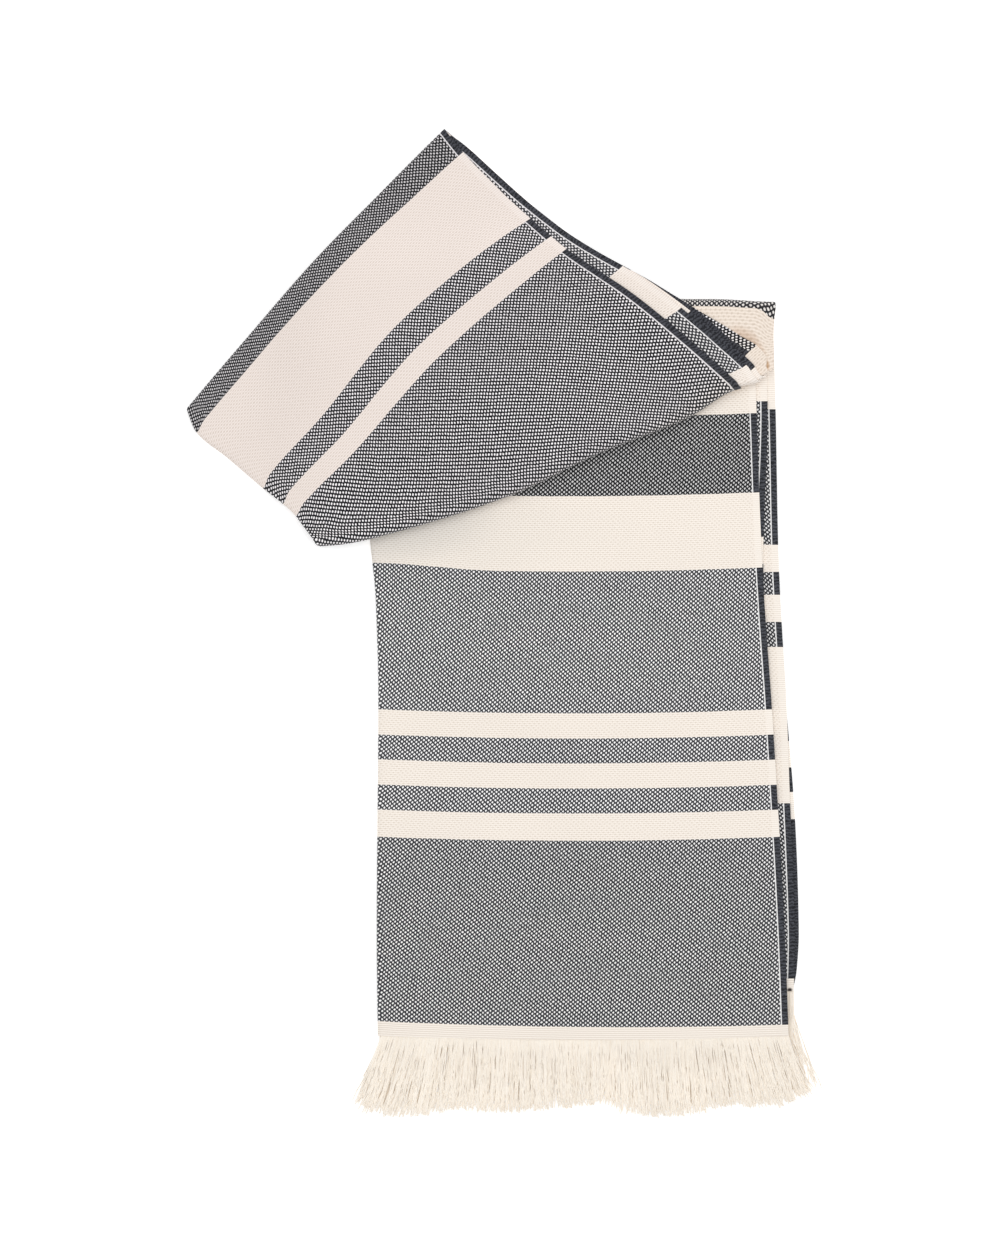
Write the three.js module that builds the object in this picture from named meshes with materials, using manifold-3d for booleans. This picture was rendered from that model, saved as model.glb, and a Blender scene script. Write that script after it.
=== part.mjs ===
// A hammam towel folded for display and laid flat, in millimetres, +Z up.
// The woven cloth is folded in half across its length, then in half along its length, which gives a
// strip of four layers. The strip lies on the floor as a bottom run, turns over at the far end, comes
// back as a middle run, turns over again on a slanting crease and ends as an arm that points to the
// far left. Both hems lie at the near end, each with its own fringe.
// The origin is under the middle of the folded towel's bounding box, on the floor.

import * as THREE from 'three';
import Module from 'manifold-3d';

const wasm = await Module();
wasm.setup();

// ---------------------------------------------------------------- driving sizes
const CLOTH_THICKNESS = 1.2;
const LAYER_PITCH = 1.75;       // centre to centre of two layers in the strip
const RUN_GAP = 0.5;            // clear space between two runs of the strip
const DROOP_LENGTH = 70;        // length over which the strip comes down past an edge
const DROOP_START = 2;          // the middle run stays level this far past the edge it hangs over
const ARM_DROOP_START = 16;     // and the arm this far, since it is held up by the middle run
const STRIPE_SAG = 3.4;         // how far the weft sags towards the fringe at mid-width
const SAG_END_Y = 191;          // past here the sag dies out
const FAR_AXIS_Y = 269.5;       // axis of the fold at the far end
const FAR_CORNER_DROP = 3;      // how far the far fold turns down at its selvedge corner
const FAR_CORNER_START = 0.9;   // share of the width where it begins to turn down
const FLAT_WIDTH = 345;         // the strip from its folded side to its top selvedge
const PIECE_GAP = 0.3;          // between the hem and the strip that holds the fringe
const BACKING_LENGTH = 2.4;     // length of the strip that holds the fringe
const FOLD_STEPS = 5;           // facets round each half turn of the strip
const SIDE_FOLD_STEPS = 4;      // facets round the lengthwise fold
const END_FOLD_STEPS = 4;       // facets round the crosswise fold

// Worked out from the driving sizes.
const HALF_STACK = 1.5 * LAYER_PITCH + CLOTH_THICKNESS / 2;
const RUN_PITCH = 2 * HALF_STACK + RUN_GAP;
const TURN_RADIUS = RUN_PITCH / 2;
const FAR_EDGE_Y = FAR_AXIS_Y + TURN_RADIUS + HALF_STACK;

// ---------------------------------------------------------------- outline tables
// The bottom run: x of its folded side and of the top layer's selvedge at each y.
const BOTTOM_OUTLINE = [
  { y: -356, folded: -104, selvedge: 248.5 },
  { y: -264, folded: -105, selvedge: 245 },
  { y: -66, folded: -103.7, selvedge: 233.5 },
  { y: 20, folded: -106, selvedge: 227.5 },
  { y: 67, folded: -110.5, selvedge: 225 },
  { y: 191, folded: -122, selvedge: 220.5 },
  { y: 275, folded: -126, selvedge: 217 },
];

// How far each lower layer's selvedge stands out past the top layer's, along the bottom run.
const BOTTOM_REACH = [
  { y: -356, innerUpper: -4, innerLower: 3, faceLower: 0 },
  { y: -325, innerUpper: -4, innerLower: 5, faceLower: 3 },
  { y: -300, innerUpper: -4, innerLower: 7, faceLower: 9 },
  { y: -263, innerUpper: -4, innerLower: 9, faceLower: 12.5 },
  { y: -155, innerUpper: -4, innerLower: 11, faceLower: 14.5 },
  { y: -66, innerUpper: -3, innerLower: 13.5, faceLower: 13 },
  { y: 51, innerUpper: 1, innerLower: 15, faceLower: 11 },
  { y: 191, innerUpper: 10, innerLower: 17, faceLower: 14 },
  { y: 275, innerUpper: 11, innerLower: 18, faceLower: 20 },
];

// The same past the far fold, by station: 1 to 2 is the far fold, 2 to 3 the middle run, 3 to 4 the
// slanting crease and 4 to 5 the arm.
const UPPER_REACH = [
  { station: 1, innerUpper: 11, innerLower: 18, faceLower: 20 },
  { station: 3, innerUpper: 11, innerLower: 17, faceLower: 20 },
  { station: 4, innerUpper: 9, innerLower: 15, faceLower: 22 },
  { station: 4.3, innerUpper: 9, innerLower: 14, faceLower: 19 },
  { station: 4.54, innerUpper: 8, innerLower: 12, faceLower: 15.5 },
  { station: 4.68, innerUpper: 7, innerLower: 9, faceLower: 11 },
  { station: 4.92, innerUpper: 5, innerLower: 6, faceLower: 6.5 },
  { station: 5, innerUpper: 0, innerLower: 0.5, faceLower: 0.5 },
];

// The outer line of the slanting crease, from the folded side to the selvedge side.
const CREASE_LINE = [
  { x: -160, y: 65 },
  { x: -135, y: 67 },
  { x: -81, y: 79.7 },
  { x: 9, y: 108.8 },
  { x: 87, y: 145.7 },
  { x: 163, y: 176 },
  { x: 201, y: 199 },
  { x: 220, y: 215 },
  { x: 245, y: 238 },
];

// Where the folded side and the selvedge side of the strip enter and leave the crease, and the corner
// of the middle run on its folded side.
const CREASE_SPAN = { foldedIn: -150, selvedgeIn: 221, foldedOut: -155, selvedgeOut: 214 };
const CREASE_CORNER = { x: -157, y: 70 };

// The arm: its folded side, its selvedge and the bow of the weft between them, at each stripe edge.
// along is the distance of that stripe edge from the outer hem, measured on the cloth.
const ARM_OUTLINE = [
  { along: 864, foldedX: -174, foldedY: 91.5, selvedgeX: 57.4, selvedgeY: 319.1, bow: 13 },
  { along: 908, foldedX: -204, foldedY: 116.5, selvedgeX: 25.5, selvedgeY: 346.2, bow: 16 },
  { along: 947, foldedX: -232, foldedY: 140.5, selvedgeX: -4, selvedgeY: 374, bow: 14 },
  { along: 985, foldedX: -260.5, foldedY: 164.5, selvedgeX: -31.1, selvedgeY: 402.8, bow: 10 },
  { along: 1011, foldedX: -270, foldedY: 180, selvedgeX: -47.1, selvedgeY: 423.8, bow: 5.2 },
];
const CREASE_ALONG = { folded: 830, selvedge: 693 };   // cloth length at the crease, on each side

// The y of each hem: at the folded side, and at the selvedges of its upper and its lower layer. The
// first rows of facets run along the hem at these insets from it.
const HEMS = {
  outer: { folded: -354, upper: -354, lower: -325, rowInsets: [0, 12, 36] },
  inner: { folded: -313, upper: -309, lower: -316, rowInsets: [0, 12] },
};

// Fringe: the four layers of locks, each level on the one below it. rootHeight is the underside of a
// lock at its root and level the underside where it lies. leanFrom is the y where a lock that starts
// inside the folded cloth may begin to lean, and shorter is how far its tip stays behind TIP_LINE.
const LOCK_HEIGHT = 0.9;
const LOCK_LEAN = { folded: 0.35, selvedge: 0.34 };
const LEAN_SPAN = { leftEnd: 0.34, rightStart: 0.58 };   // shares of the width that lean each way
const LEAN_GROWTH = 1.4;        // how the lean grows towards the two sides
const LEAN_SCATTER = 0.02;
const LEAN_REFERENCE = 60;      // length over which the lean is measured
const LEAN_CURVE = 1.1;         // over 1, so that a lock leans more towards its tip
const TIP_NARROWING = 0.62;     // a lock's width at its tip, as a share of the rest
const TIP_SCATTER = 4;          // the tips end this unevenly
const OPEN_FLOOR_Y = -358;      // past the hems the locks sink to their level from here
const LEVEL_Y = -376;           // to here
const SHORTEST_TIP = 8;         // and each goes on level for at least about this far
const FRINGE_LAYERS = {
  faceUpper: { count: 84, width: 2.7, rootHeight: 5.4, level: 3.6, leanFrom: 0, shorter: 0 },
  innerUpper: { count: 40, width: 2.6, rootHeight: 3.65, level: 2.4, leanFrom: -357, shorter: 38 },
  innerLower: { count: 40, width: 2.6, rootHeight: 1.9, level: 1.2, leanFrom: -357, shorter: 34 },
  faceLower: { count: 56, width: 2.7, rootHeight: 0, level: 0, leanFrom: 0, shorter: 7 },
};
const LOCK_SPREAD = { first: -0.004, last: 0.996 };

// Where the longest locks end, across the strip.
const TIP_LINE = [
  { share: 0, y: -414 },
  { share: 0.06, y: -424 },
  { share: 0.35, y: -421 },
  { share: 0.58, y: -415 },
  { share: 0.7, y: -424 },
  { share: 0.82, y: -421 },
  { share: 0.9, y: -416 },
  { share: 1, y: -404 },
];

// Where the facets lie: y of the bottom run's rows, shares of the middle run and of the arm's first
// stretch, and shares of the strip's width.
const BOTTOM_ROWS = [-264, -190, -110, -45, 20, 80, 135, 191, 235];
const MIDDLE_ROWS = [0.15, 0.32, 0.5, 0.68, 0.85];
const ARM_START_ROWS = [0.2, 0.45, 0.72];
const WIDTH_SHARES = [0, 0.05, 0.1, 0.17, 0.27, 0.4, 0.54, 0.67, 0.78, 0.87, 0.94, 1, 1.06];

const CHARCOAL = 0x4a4b50;
const CREAM = 0xefe7da;
const COTTON_ROUGHNESS = 0.95;

// ---------------------------------------------------------------- small helpers
const lerp = THREE.MathUtils.lerp;
const smoothstep = THREE.MathUtils.smoothstep;

// A low arch over the width: 0 at both sides and 1 in the middle.
const arch = (share) => Math.max(4 * share * (1 - share), 0);

// A smooth value between the rows of a table, without overshoot (a monotone cubic).
function tableValue(table, key, column, at) {
  const last = table.length - 1;
  const slope = (i) => (table[i + 1][column] - table[i][column]) / (table[i + 1][key] - table[i][key]);
  if (at <= table[0][key]) return table[0][column] + slope(0) * (at - table[0][key]);
  if (at >= table[last][key]) return table[last][column] + slope(last - 1) * (at - table[last][key]);
  const i = table.findIndex((row) => row[key] > at) - 1;
  const tangent = (j) => {
    if (j === 0) return slope(0);
    if (j === last) return slope(last - 1);
    const before = slope(j - 1);
    const after = slope(j);
    return before * after <= 0 ? 0 : (2 * before * after) / (before + after);
  };
  const span = table[i + 1][key] - table[i][key];
  const t = (at - table[i][key]) / span;
  const start = (1 + 2 * t) * (1 - t) ** 2 * table[i][column] + t * (1 - t) ** 2 * span * tangent(i);
  const end = t * t * (3 - 2 * t) * table[i + 1][column] - t * t * (1 - t) * span * tangent(i + 1);
  return start + end;
}

// The last tabled column before a share of the width, held inside the table at both ends.
function columnBefore(share) {
  const next = WIDTH_SHARES.findIndex((column) => column > share);
  return next === -1 ? WIDTH_SHARES.length - 2 : Math.max(next - 1, 0);
}

// The value between the columns of one row, carried on in a straight line past both ends.
function alongRow(values, share) {
  const i = columnBefore(share);
  const part = (share - WIDTH_SHARES[i]) / (WIDTH_SHARES[i + 1] - WIDTH_SHARES[i]);
  return values[i].clone().lerp(values[i + 1], part);
}

// ---------------------------------------------------------------- the strip's middle surface
const foldedSide = (y) => tableValue(BOTTOM_OUTLINE, 'y', 'folded', y);
const selvedgeSide = (y) => tableValue(BOTTOM_OUTLINE, 'y', 'selvedge', y);

// How much of its height the strip still has at a distance past the edge that carries it.
const carried = (distance, start) => 1 - smoothstep(distance, start, start + DROOP_LENGTH);

// The middle run lies on the bottom run and hangs over its folded side.
function middleHeight(x, y) {
  return HALF_STACK + RUN_PITCH * carried(foldedSide(y) - x, DROOP_START);
}

// The arm lies on both runs below it and hangs over their folded sides and the far fold.
function armHeight(x, y) {
  const beyondFar = Math.max(y - FAR_EDGE_Y, 0);
  const towardsCrease = (FAR_EDGE_Y - y) / (FAR_EDGE_Y - CREASE_CORNER.y);
  const middleFolded = lerp(foldedSide(FAR_EDGE_Y), CREASE_CORNER.x, towardsCrease);
  const pastBottom = Math.hypot(Math.max(foldedSide(y) - x, 0), beyondFar);
  const pastMiddle = Math.hypot(Math.max(middleFolded - x, 0), beyondFar);
  const lift = carried(pastBottom, ARM_DROOP_START) + carried(pastMiddle, ARM_DROOP_START);
  return HALF_STACK + RUN_PITCH * lift;
}

// A point of the bottom run's middle surface, with the weft's sag, which dies out at the far fold.
function bottomPoint(y, share) {
  const sag = STRIPE_SAG * arch(share) * (1 - smoothstep(y, SAG_END_Y, FAR_AXIS_Y));
  const x = lerp(foldedSide(y) + HALF_STACK, selvedgeSide(y), share);
  return new THREE.Vector3(x, y - sag, HALF_STACK);
}

function farAxisPoint(share) {
  const y = FAR_AXIS_Y - FAR_CORNER_DROP * smoothstep(share, FAR_CORNER_START, WIDTH_SHARES.at(-1));
  return bottomPoint(FAR_AXIS_Y, share).setY(y);
}

function farFoldPoint(angle, share) {
  const point = farAxisPoint(share);
  point.y += TURN_RADIUS * Math.sin(angle);
  point.z += TURN_RADIUS * (1 - Math.cos(angle));
  return point;
}

// The crease's outer line, and the axis that the strip turns round, which lies inside it.
function creaseFrame(x) {
  const step = 1;
  const rise = tableValue(CREASE_LINE, 'x', 'y', x + step) - tableValue(CREASE_LINE, 'x', 'y', x - step);
  const outward = new THREE.Vector3(rise, -2 * step, 0).normalize();
  const line = new THREE.Vector3(x, tableValue(CREASE_LINE, 'x', 'y', x), 0);
  return { outward, axis: line.addScaledVector(outward, -(TURN_RADIUS + HALF_STACK)) };
}

const creaseIn = (share) => creaseFrame(lerp(CREASE_SPAN.foldedIn, CREASE_SPAN.selvedgeIn, share));
const creaseOut = (share) => creaseFrame(lerp(CREASE_SPAN.foldedOut, CREASE_SPAN.selvedgeOut, share));

function middlePoint(part, share) {
  const point = farAxisPoint(share).lerp(creaseIn(share).axis, part);
  return point.setZ(middleHeight(point.x, point.y));
}

function creasePoint(angle, share) {
  const into = creaseIn(share);
  const out = creaseOut(share);
  const turned = angle / Math.PI;
  const startHeight = middleHeight(into.axis.x, into.axis.y);
  const endHeight = armHeight(out.axis.x, out.axis.y) - RUN_PITCH;
  const point = into.axis.clone().lerp(out.axis, turned);
  point.addScaledVector(into.outward.clone().lerp(out.outward, turned), TURN_RADIUS * Math.sin(angle));
  return point.setZ(lerp(startHeight, endHeight, turned) + TURN_RADIUS * (1 - Math.cos(angle)));
}

// A point on one of the arm's tabled rows, in plan.
function armRowPoint(row, share) {
  const folded = new THREE.Vector3(row.foldedX, row.foldedY, 0);
  const selvedge = new THREE.Vector3(row.selvedgeX, row.selvedgeY, 0);
  const across = selvedge.clone().sub(folded).normalize();
  folded.addScaledVector(across, HALF_STACK);
  const ahead = new THREE.Vector3(-across.y, across.x, 0);
  return folded.lerp(selvedge, share).addScaledVector(ahead, row.bow * arch(share));
}

// The cloth length where the strip leaves the crease.
const armStart = (share) => lerp(CREASE_ALONG.folded, CREASE_ALONG.selvedge, share);

// A point of the arm at a cloth length between the crease and the crosswise fold.
function armPoint(along, share) {
  const start = creaseOut(share).axis;
  const table = [{ along: armStart(share), x: start.x, y: start.y }];
  for (const row of ARM_OUTLINE) {
    const point = armRowPoint(row, share);
    table.push({ along: row.along, x: point.x, y: point.y });
  }
  const x = tableValue(table, 'along', 'x', along);
  const y = tableValue(table, 'along', 'y', along);
  return new THREE.Vector3(x, y, armHeight(x, y));
}

// ---------------------------------------------------------------- rows of the folded strip
// Each row holds its station and the middle surface's points at the width shares. The crosswise fold
// stands half a layer pitch and half a thickness past the arm's last row, which is drawn back by that.
function stripRows() {
  const rows = [];
  const add = (station, pointAt) => rows.push({ station, points: WIDTH_SHARES.map(pointAt) });
  for (const y of BOTTOM_ROWS) add(0, (share) => bottomPoint(y, share));
  for (let i = 0; i <= FOLD_STEPS; i++) {
    add(1 + i / FOLD_STEPS, (share) => farFoldPoint((i / FOLD_STEPS) * Math.PI, share));
  }
  for (const part of MIDDLE_ROWS) add(2 + part, (share) => middlePoint(part, share));
  for (let i = 0; i <= FOLD_STEPS; i++) {
    add(3 + i / FOLD_STEPS, (share) => creasePoint((i / FOLD_STEPS) * Math.PI, share));
  }
  const firstRow = ARM_OUTLINE[0].along;
  const lastRow = ARM_OUTLINE.at(-1).along;
  const armStation = (along) => 4 + (along - armStart(1)) / (lastRow - armStart(1));
  for (const part of ARM_START_ROWS) {
    const alongAt = (share) => lerp(armStart(share), firstRow, part);
    add(armStation(alongAt(1)), (share) => armPoint(alongAt(share), share));
  }
  const drawnBack = (LAYER_PITCH + CLOTH_THICKNESS) / 2;
  for (const { along } of ARM_OUTLINE) {
    add(armStation(along), (share) => armPoint(along === lastRow ? along - drawnBack : along, share));
  }
  return rows;
}

// The unit normals of the middle surface at each row's points, up on the bottom run and on the arm.
function addNormals(rows) {
  rows.forEach((row, j) => {
    const before = rows[Math.max(j - 1, 0)].points;
    const after = rows[Math.min(j + 1, rows.length - 1)].points;
    row.normals = row.points.map((point, i) => {
      const left = row.points[Math.max(i - 1, 0)];
      const right = row.points[Math.min(i + 1, row.points.length - 1)];
      return right.clone().sub(left).cross(after[i].clone().sub(before[i])).normalize();
    });
  });
  return rows;
}

const STRIP = addNormals(stripRows());
const ARM_END = STRIP.at(-1);
const ARM_END_AHEAD = ARM_END.points.map((point, i) => {
  return point.clone().sub(STRIP.at(-2).points[i]).setZ(0).normalize();
});

// ---------------------------------------------------------------- the four layers of the strip
// side is +1 on the upper layer and -1 on the lower one. turn is 0 on the outer half of the cloth
// and PI on the inner half, and runs between them round the crosswise fold.
// On the bottom run, station 0, how far a layer reaches goes by y.
function reachOf(side, turn, station, y) {
  const isFace = turn < Math.PI / 2;
  if (isFace && side > 0) return 0;
  const lowerLayer = isFace ? 'faceLower' : 'innerLower';
  const layer = side > 0 ? 'innerUpper' : lowerLayer;
  if (station < 1) return tableValue(BOTTOM_REACH, 'y', layer, y);
  return tableValue(UPPER_REACH, 'station', layer, station);
}

// The columns of a sheet from the lower selvedge, round the lengthwise fold, to the upper selvedge.
function sheetColumns() {
  const inside = WIDTH_SHARES.filter((share) => share < 1).map((share) => ({ share, toSelvedge: 0 }));
  const last = inside[inside.length - 1].share;
  const flat = [...inside, { share: last, toSelvedge: 0.5 }, { share: last, toSelvedge: 1 }];
  const lower = flat.map((column) => ({ ...column, side: -1 })).reverse();
  const upper = flat.map((column) => ({ ...column, side: 1 }));
  const round = [];
  for (let i = 1; i < SIDE_FOLD_STEPS; i++) round.push({ angle: (i / SIDE_FOLD_STEPS - 0.5) * Math.PI });
  return [...lower, ...round, ...upper];
}

// Where a column lies across the strip and off its middle surface, at a radius from the fold's axis.
function columnPlace(column, radius, turn, station, y) {
  if (column.angle !== undefined) {
    const share = (-radius * Math.cos(column.angle)) / FLAT_WIDTH;
    return { share, offset: radius * Math.sin(column.angle) };
  }
  const edge = 1 + reachOf(column.side, turn, station, y) / FLAT_WIDTH;
  const share = lerp(column.share, edge, column.toSelvedge);
  return { share: column.toSelvedge < 1 ? Math.min(share, 1) : share, offset: column.side * radius };
}

// The y of a hem: its edge slants from the folded side to where its own layer ends.
function hemAt(hem, side, share) {
  return lerp(hem.folded, side < 0 ? hem.lower : hem.upper, Math.max(share, 0));
}

// The points of one row of a sheet's surface. face is +1 on the surface away from the fold's axis
// on the outer half, and -1 on the other surface.
function sheetRow(spec, face) {
  const bend = LAYER_PITCH / 2 + (face * CLOTH_THICKNESS) / 2;
  const radius = LAYER_PITCH + bend * Math.cos(spec.turn);
  const ahead = spec.row === ARM_END ? bend * Math.sin(spec.turn) : 0;
  return sheetColumns().map((column) => {
    if (spec.row) {
      const { station, points, normals } = spec.row;
      const { share, offset } = columnPlace(column, radius, spec.turn, station, points[0].y);
      const point = alongRow(points, share).addScaledVector(alongRow(normals, share), offset);
      return point.addScaledVector(alongRow(ARM_END_AHEAD, share), ahead);
    }
    const side = column.angle === undefined ? column.side : Math.sign(column.angle);
    const { share, offset } = columnPlace(column, radius, spec.turn, 0, spec.hem.folded + spec.inset);
    return bottomPoint(hemAt(spec.hem, side, share) + spec.inset, share).setZ(HALF_STACK + offset);
  });
}

// A closed sheet: its two surfaces and the rim between them. The layers' facets are split along the
// same diagonals of the strip, so that they stay parallel where the strip twists.
function sheetGeometry(specs) {
  const faces = [1, -1].map((face) => specs.map((spec) => sheetRow(spec, face)));
  const rowCount = specs.length;
  const columnCount = faces[0][0].length;
  const positions = faces.flat(2).flatMap((point) => [point.x, point.y, point.z]);
  const at = (face, j, i) => (face * rowCount + j) * columnCount + i;
  const triangles = [];
  const quad = (a, b, c, d) => triangles.push(a, b, c, a, c, d);
  for (let j = 0; j + 1 < rowCount; j++) {
    const outerHalf = specs[j].turn < Math.PI / 2;
    for (let i = 0; i + 1 < columnCount; i++) {
      const upperSide = i >= columnCount / 2 - 1;
      const above = [at(0, j, i), at(0, j, i + 1), at(0, j + 1, i + 1), at(0, j + 1, i)];
      const below = [at(1, j + 1, i), at(1, j + 1, i + 1), at(1, j, i + 1), at(1, j, i)];
      if (outerHalf === upperSide) {
        quad(...above);
        quad(below[3], below[0], below[1], below[2]);
      } else {
        quad(above[1], above[2], above[3], above[0]);
        quad(...below);
      }
    }
    quad(at(0, j, 0), at(0, j + 1, 0), at(1, j + 1, 0), at(1, j, 0));
    const edge = columnCount - 1;
    quad(at(0, j, edge), at(1, j, edge), at(1, j + 1, edge), at(0, j + 1, edge));
  }
  for (let i = 0; i + 1 < columnCount; i++) {
    quad(at(0, 0, i), at(1, 0, i), at(1, 0, i + 1), at(0, 0, i + 1));
    const end = rowCount - 1;
    quad(at(0, end, i), at(0, end, i + 1), at(1, end, i + 1), at(1, end, i));
  }
  return meshGeometry(positions, triangles);
}

// Triangles as a geometry, turned to face outwards.
function meshGeometry(positions, triangles) {
  let volume = 0;
  const corner = (index) => new THREE.Vector3().fromArray(positions, index * 3);
  for (let t = 0; t < triangles.length; t += 3) {
    volume += corner(triangles[t]).dot(corner(triangles[t + 1]).cross(corner(triangles[t + 2])));
  }
  const outward = [...triangles];
  if (volume < 0) outward.reverse();
  const geometry = new THREE.BufferGeometry();
  geometry.setAttribute('position', new THREE.Float32BufferAttribute(positions, 3));
  geometry.setIndex(outward);
  return geometry;
}

// ---------------------------------------------------------------- the cloth
function clothGeometry() {
  const half = (hem, turn) => [
    ...hem.rowInsets.map((inset) => ({ hem, inset, turn })),
    ...STRIP.map((row) => ({ row, turn })),
  ];
  const fold = [];
  for (let i = 1; i < END_FOLD_STEPS; i++) {
    fold.push({ row: ARM_END, turn: (i / END_FOLD_STEPS) * Math.PI });
  }
  return sheetGeometry([...half(HEMS.outer, 0), ...fold, ...half(HEMS.inner, Math.PI).reverse()]);
}

// ---------------------------------------------------------------- the fringe
// A small repeatable random number from 0 to 1.
function scatter(seed) {
  const wave = Math.sin(seed * 12.9898) * 43758.5453;
  return wave - Math.floor(wave);
}

// The fringe spreads: locks lean out to the left at the folded side and to the right at the selvedges.
function leanAt(share) {
  const left = THREE.MathUtils.clamp(1 - share / LEAN_SPAN.leftEnd, 0, 1);
  const right = Math.max((share - LEAN_SPAN.rightStart) / (1 - LEAN_SPAN.rightStart), 0);
  return LOCK_LEAN.selvedge * right ** LEAN_GROWTH - LOCK_LEAN.folded * left ** LEAN_GROWTH;
}

// One lock: a flat three-sided rope through its stations, with a level underside.
function lockGeometry(stations) {
  const positions = stations.flatMap(({ x, y, z, width }) => {
    return [x - width / 2, y, z, x + width / 2, y, z, x, y, z + LOCK_HEIGHT];
  });
  const triangles = [0, 1, 2];
  for (let j = 0; j + 1 < stations.length; j++) {
    for (let i = 0; i < 3; i++) {
      const a = 3 * j + i;
      const b = 3 * j + ((i + 1) % 3);
      triangles.push(a, b + 3, b, a, a + 3, b + 3);
    }
  }
  const end = 3 * (stations.length - 1);
  triangles.push(end, end + 2, end + 1);
  return meshGeometry(positions, triangles);
}

// The stations of one lock from its root in the backing to its tip.
function lockStations(layer, hem, side, reach, share, seed) {
  const rootY = hemAt(hem, side, share) - PIECE_GAP - BACKING_LENGTH / 2;
  const root = bottomPoint(rootY, share + (reach / FLAT_WIDTH) * share ** 3);
  const lean = leanAt(share) + LEAN_SCATTER * (scatter(seed) - 0.5);
  const leanStart = Math.min(root.y, layer.leanFrom);
  const leaned = (y) => {
    return lean * LEAN_REFERENCE * (Math.max(leanStart - y, 0) / LEAN_REFERENCE) ** LEAN_CURVE;
  };
  const longest = tableValue(TIP_LINE, 'share', 'y', share) + layer.shorter;
  const tipY = Math.min(longest, LEVEL_Y - SHORTEST_TIP) + TIP_SCATTER * scatter(seed + 0.37);
  const ys = [root.y, Math.min(OPEN_FLOOR_Y, root.y - 3), LEVEL_Y, tipY];
  const heights = [layer.rootHeight, layer.rootHeight, layer.level, layer.level];
  const widths = [1, 1, 1, TIP_NARROWING];
  return ys.map((y, i) => ({ x: root.x + leaned(y), y, z: heights[i], width: layer.width * widths[i] }));
}

function solidFrom(geometry) {
  const vertProperties = geometry.getAttribute('position').array;
  const triVerts = Uint32Array.from(geometry.getIndex().array);
  const mesh = new wasm.Mesh({ numProp: 3, vertProperties, triVerts });
  return new wasm.Manifold(mesh);
}

// The strip parted from the hem, with the locks of an upper and a lower layer fused into it.
function fringeGeometry(hem, turn, upper, lower) {
  const insets = [-PIECE_GAP, -PIECE_GAP - BACKING_LENGTH];
  let solid = solidFrom(sheetGeometry(insets.map((inset) => ({ hem, inset, turn }))));
  for (const [side, layer] of [[1, upper], [-1, lower]]) {
    const reach = reachOf(side, turn, 0, hem.folded);
    for (let i = 0; i < layer.count; i++) {
      const share = lerp(LOCK_SPREAD.first, LOCK_SPREAD.last, (i + 0.5) / layer.count);
      const stations = lockStations(layer, hem, side, reach, share, i + 1 + 100 * (side + 1) + turn);
      solid = solid.add(solidFrom(lockGeometry(stations)));
    }
  }
  const { numProp, vertProperties, triVerts } = solid.getMesh();
  const geometry = new THREE.BufferGeometry();
  const positions = [];
  for (let i = 0; i < vertProperties.length; i += numProp) {
    positions.push(...vertProperties.slice(i, i + 3));
  }
  geometry.setAttribute('position', new THREE.Float32BufferAttribute(positions, 3));
  geometry.setIndex([...triVerts]);
  return geometry;
}

// ---------------------------------------------------------------- the towel
function namedMesh(name, geometry, color) {
  const material = new THREE.MeshStandardMaterial({ color, roughness: COTTON_ROUGHNESS, metalness: 0 });
  const mesh = new THREE.Mesh(geometry, material);
  mesh.name = name;
  return mesh;
}

const { faceUpper, innerUpper, innerLower, faceLower } = FRINGE_LAYERS;
const outerFringe = fringeGeometry(HEMS.outer, 0, faceUpper, faceLower);
const innerFringe = fringeGeometry(HEMS.inner, Math.PI, innerUpper, innerLower);

const towel = new THREE.Group();
towel.add(namedMesh('towel', clothGeometry(), CHARCOAL));
towel.add(namedMesh('fringe_outer_end', outerFringe, CREAM));
towel.add(namedMesh('fringe_inner_end', innerFringe, CREAM));

export default towel;
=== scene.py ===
"""Looks of a folded hammam towel: fine cloth, woven stripes and loose fringe yarns.

The cloth is folded in half across its length, then in half along its length, which gives a strip of
four layers. The strip lies on the floor as a bottom run, turns over at the far end, comes back as a
middle run, turns over again on a slanting crease and ends as an arm that points to the far left.

Sizes of the fold are in millimetres and become metres when a mesh is made.
"""

import logging
import math
from collections.abc import Callable
from dataclasses import dataclass
from enum import Enum

import bpy
import numpy as np
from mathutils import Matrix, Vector


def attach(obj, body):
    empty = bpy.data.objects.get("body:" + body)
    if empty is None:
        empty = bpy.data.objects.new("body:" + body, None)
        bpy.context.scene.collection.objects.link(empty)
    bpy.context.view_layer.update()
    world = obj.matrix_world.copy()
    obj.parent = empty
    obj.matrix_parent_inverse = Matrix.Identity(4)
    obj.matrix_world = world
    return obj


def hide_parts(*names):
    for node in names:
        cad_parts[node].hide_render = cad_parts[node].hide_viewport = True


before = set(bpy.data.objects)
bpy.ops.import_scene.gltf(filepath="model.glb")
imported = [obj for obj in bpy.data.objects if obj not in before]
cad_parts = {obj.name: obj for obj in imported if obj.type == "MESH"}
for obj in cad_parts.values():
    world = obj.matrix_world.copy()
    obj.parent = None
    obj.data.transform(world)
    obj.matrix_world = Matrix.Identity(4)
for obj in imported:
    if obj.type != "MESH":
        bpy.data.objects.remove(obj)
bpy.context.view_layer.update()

log = logging.getLogger("towel")

MM = 0.001
STRIP_END = 5.0

Array = np.ndarray


# ---------------------------------------------------------------- small helpers
def lerp(start: float | Array, end: float | Array, part: float | Array) -> float | Array:
    """Go from start to end by a part, which may lie outside 0 to 1."""
    return start + (end - start) * part


def smoothstep(value: float | Array, low: float, high: float) -> Array:
    """Rise smoothly from 0 at low to 1 at high."""
    part = np.clip((np.asarray(value, float) - low) / (high - low), 0, 1)
    return part * part * (3 - 2 * part)


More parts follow.
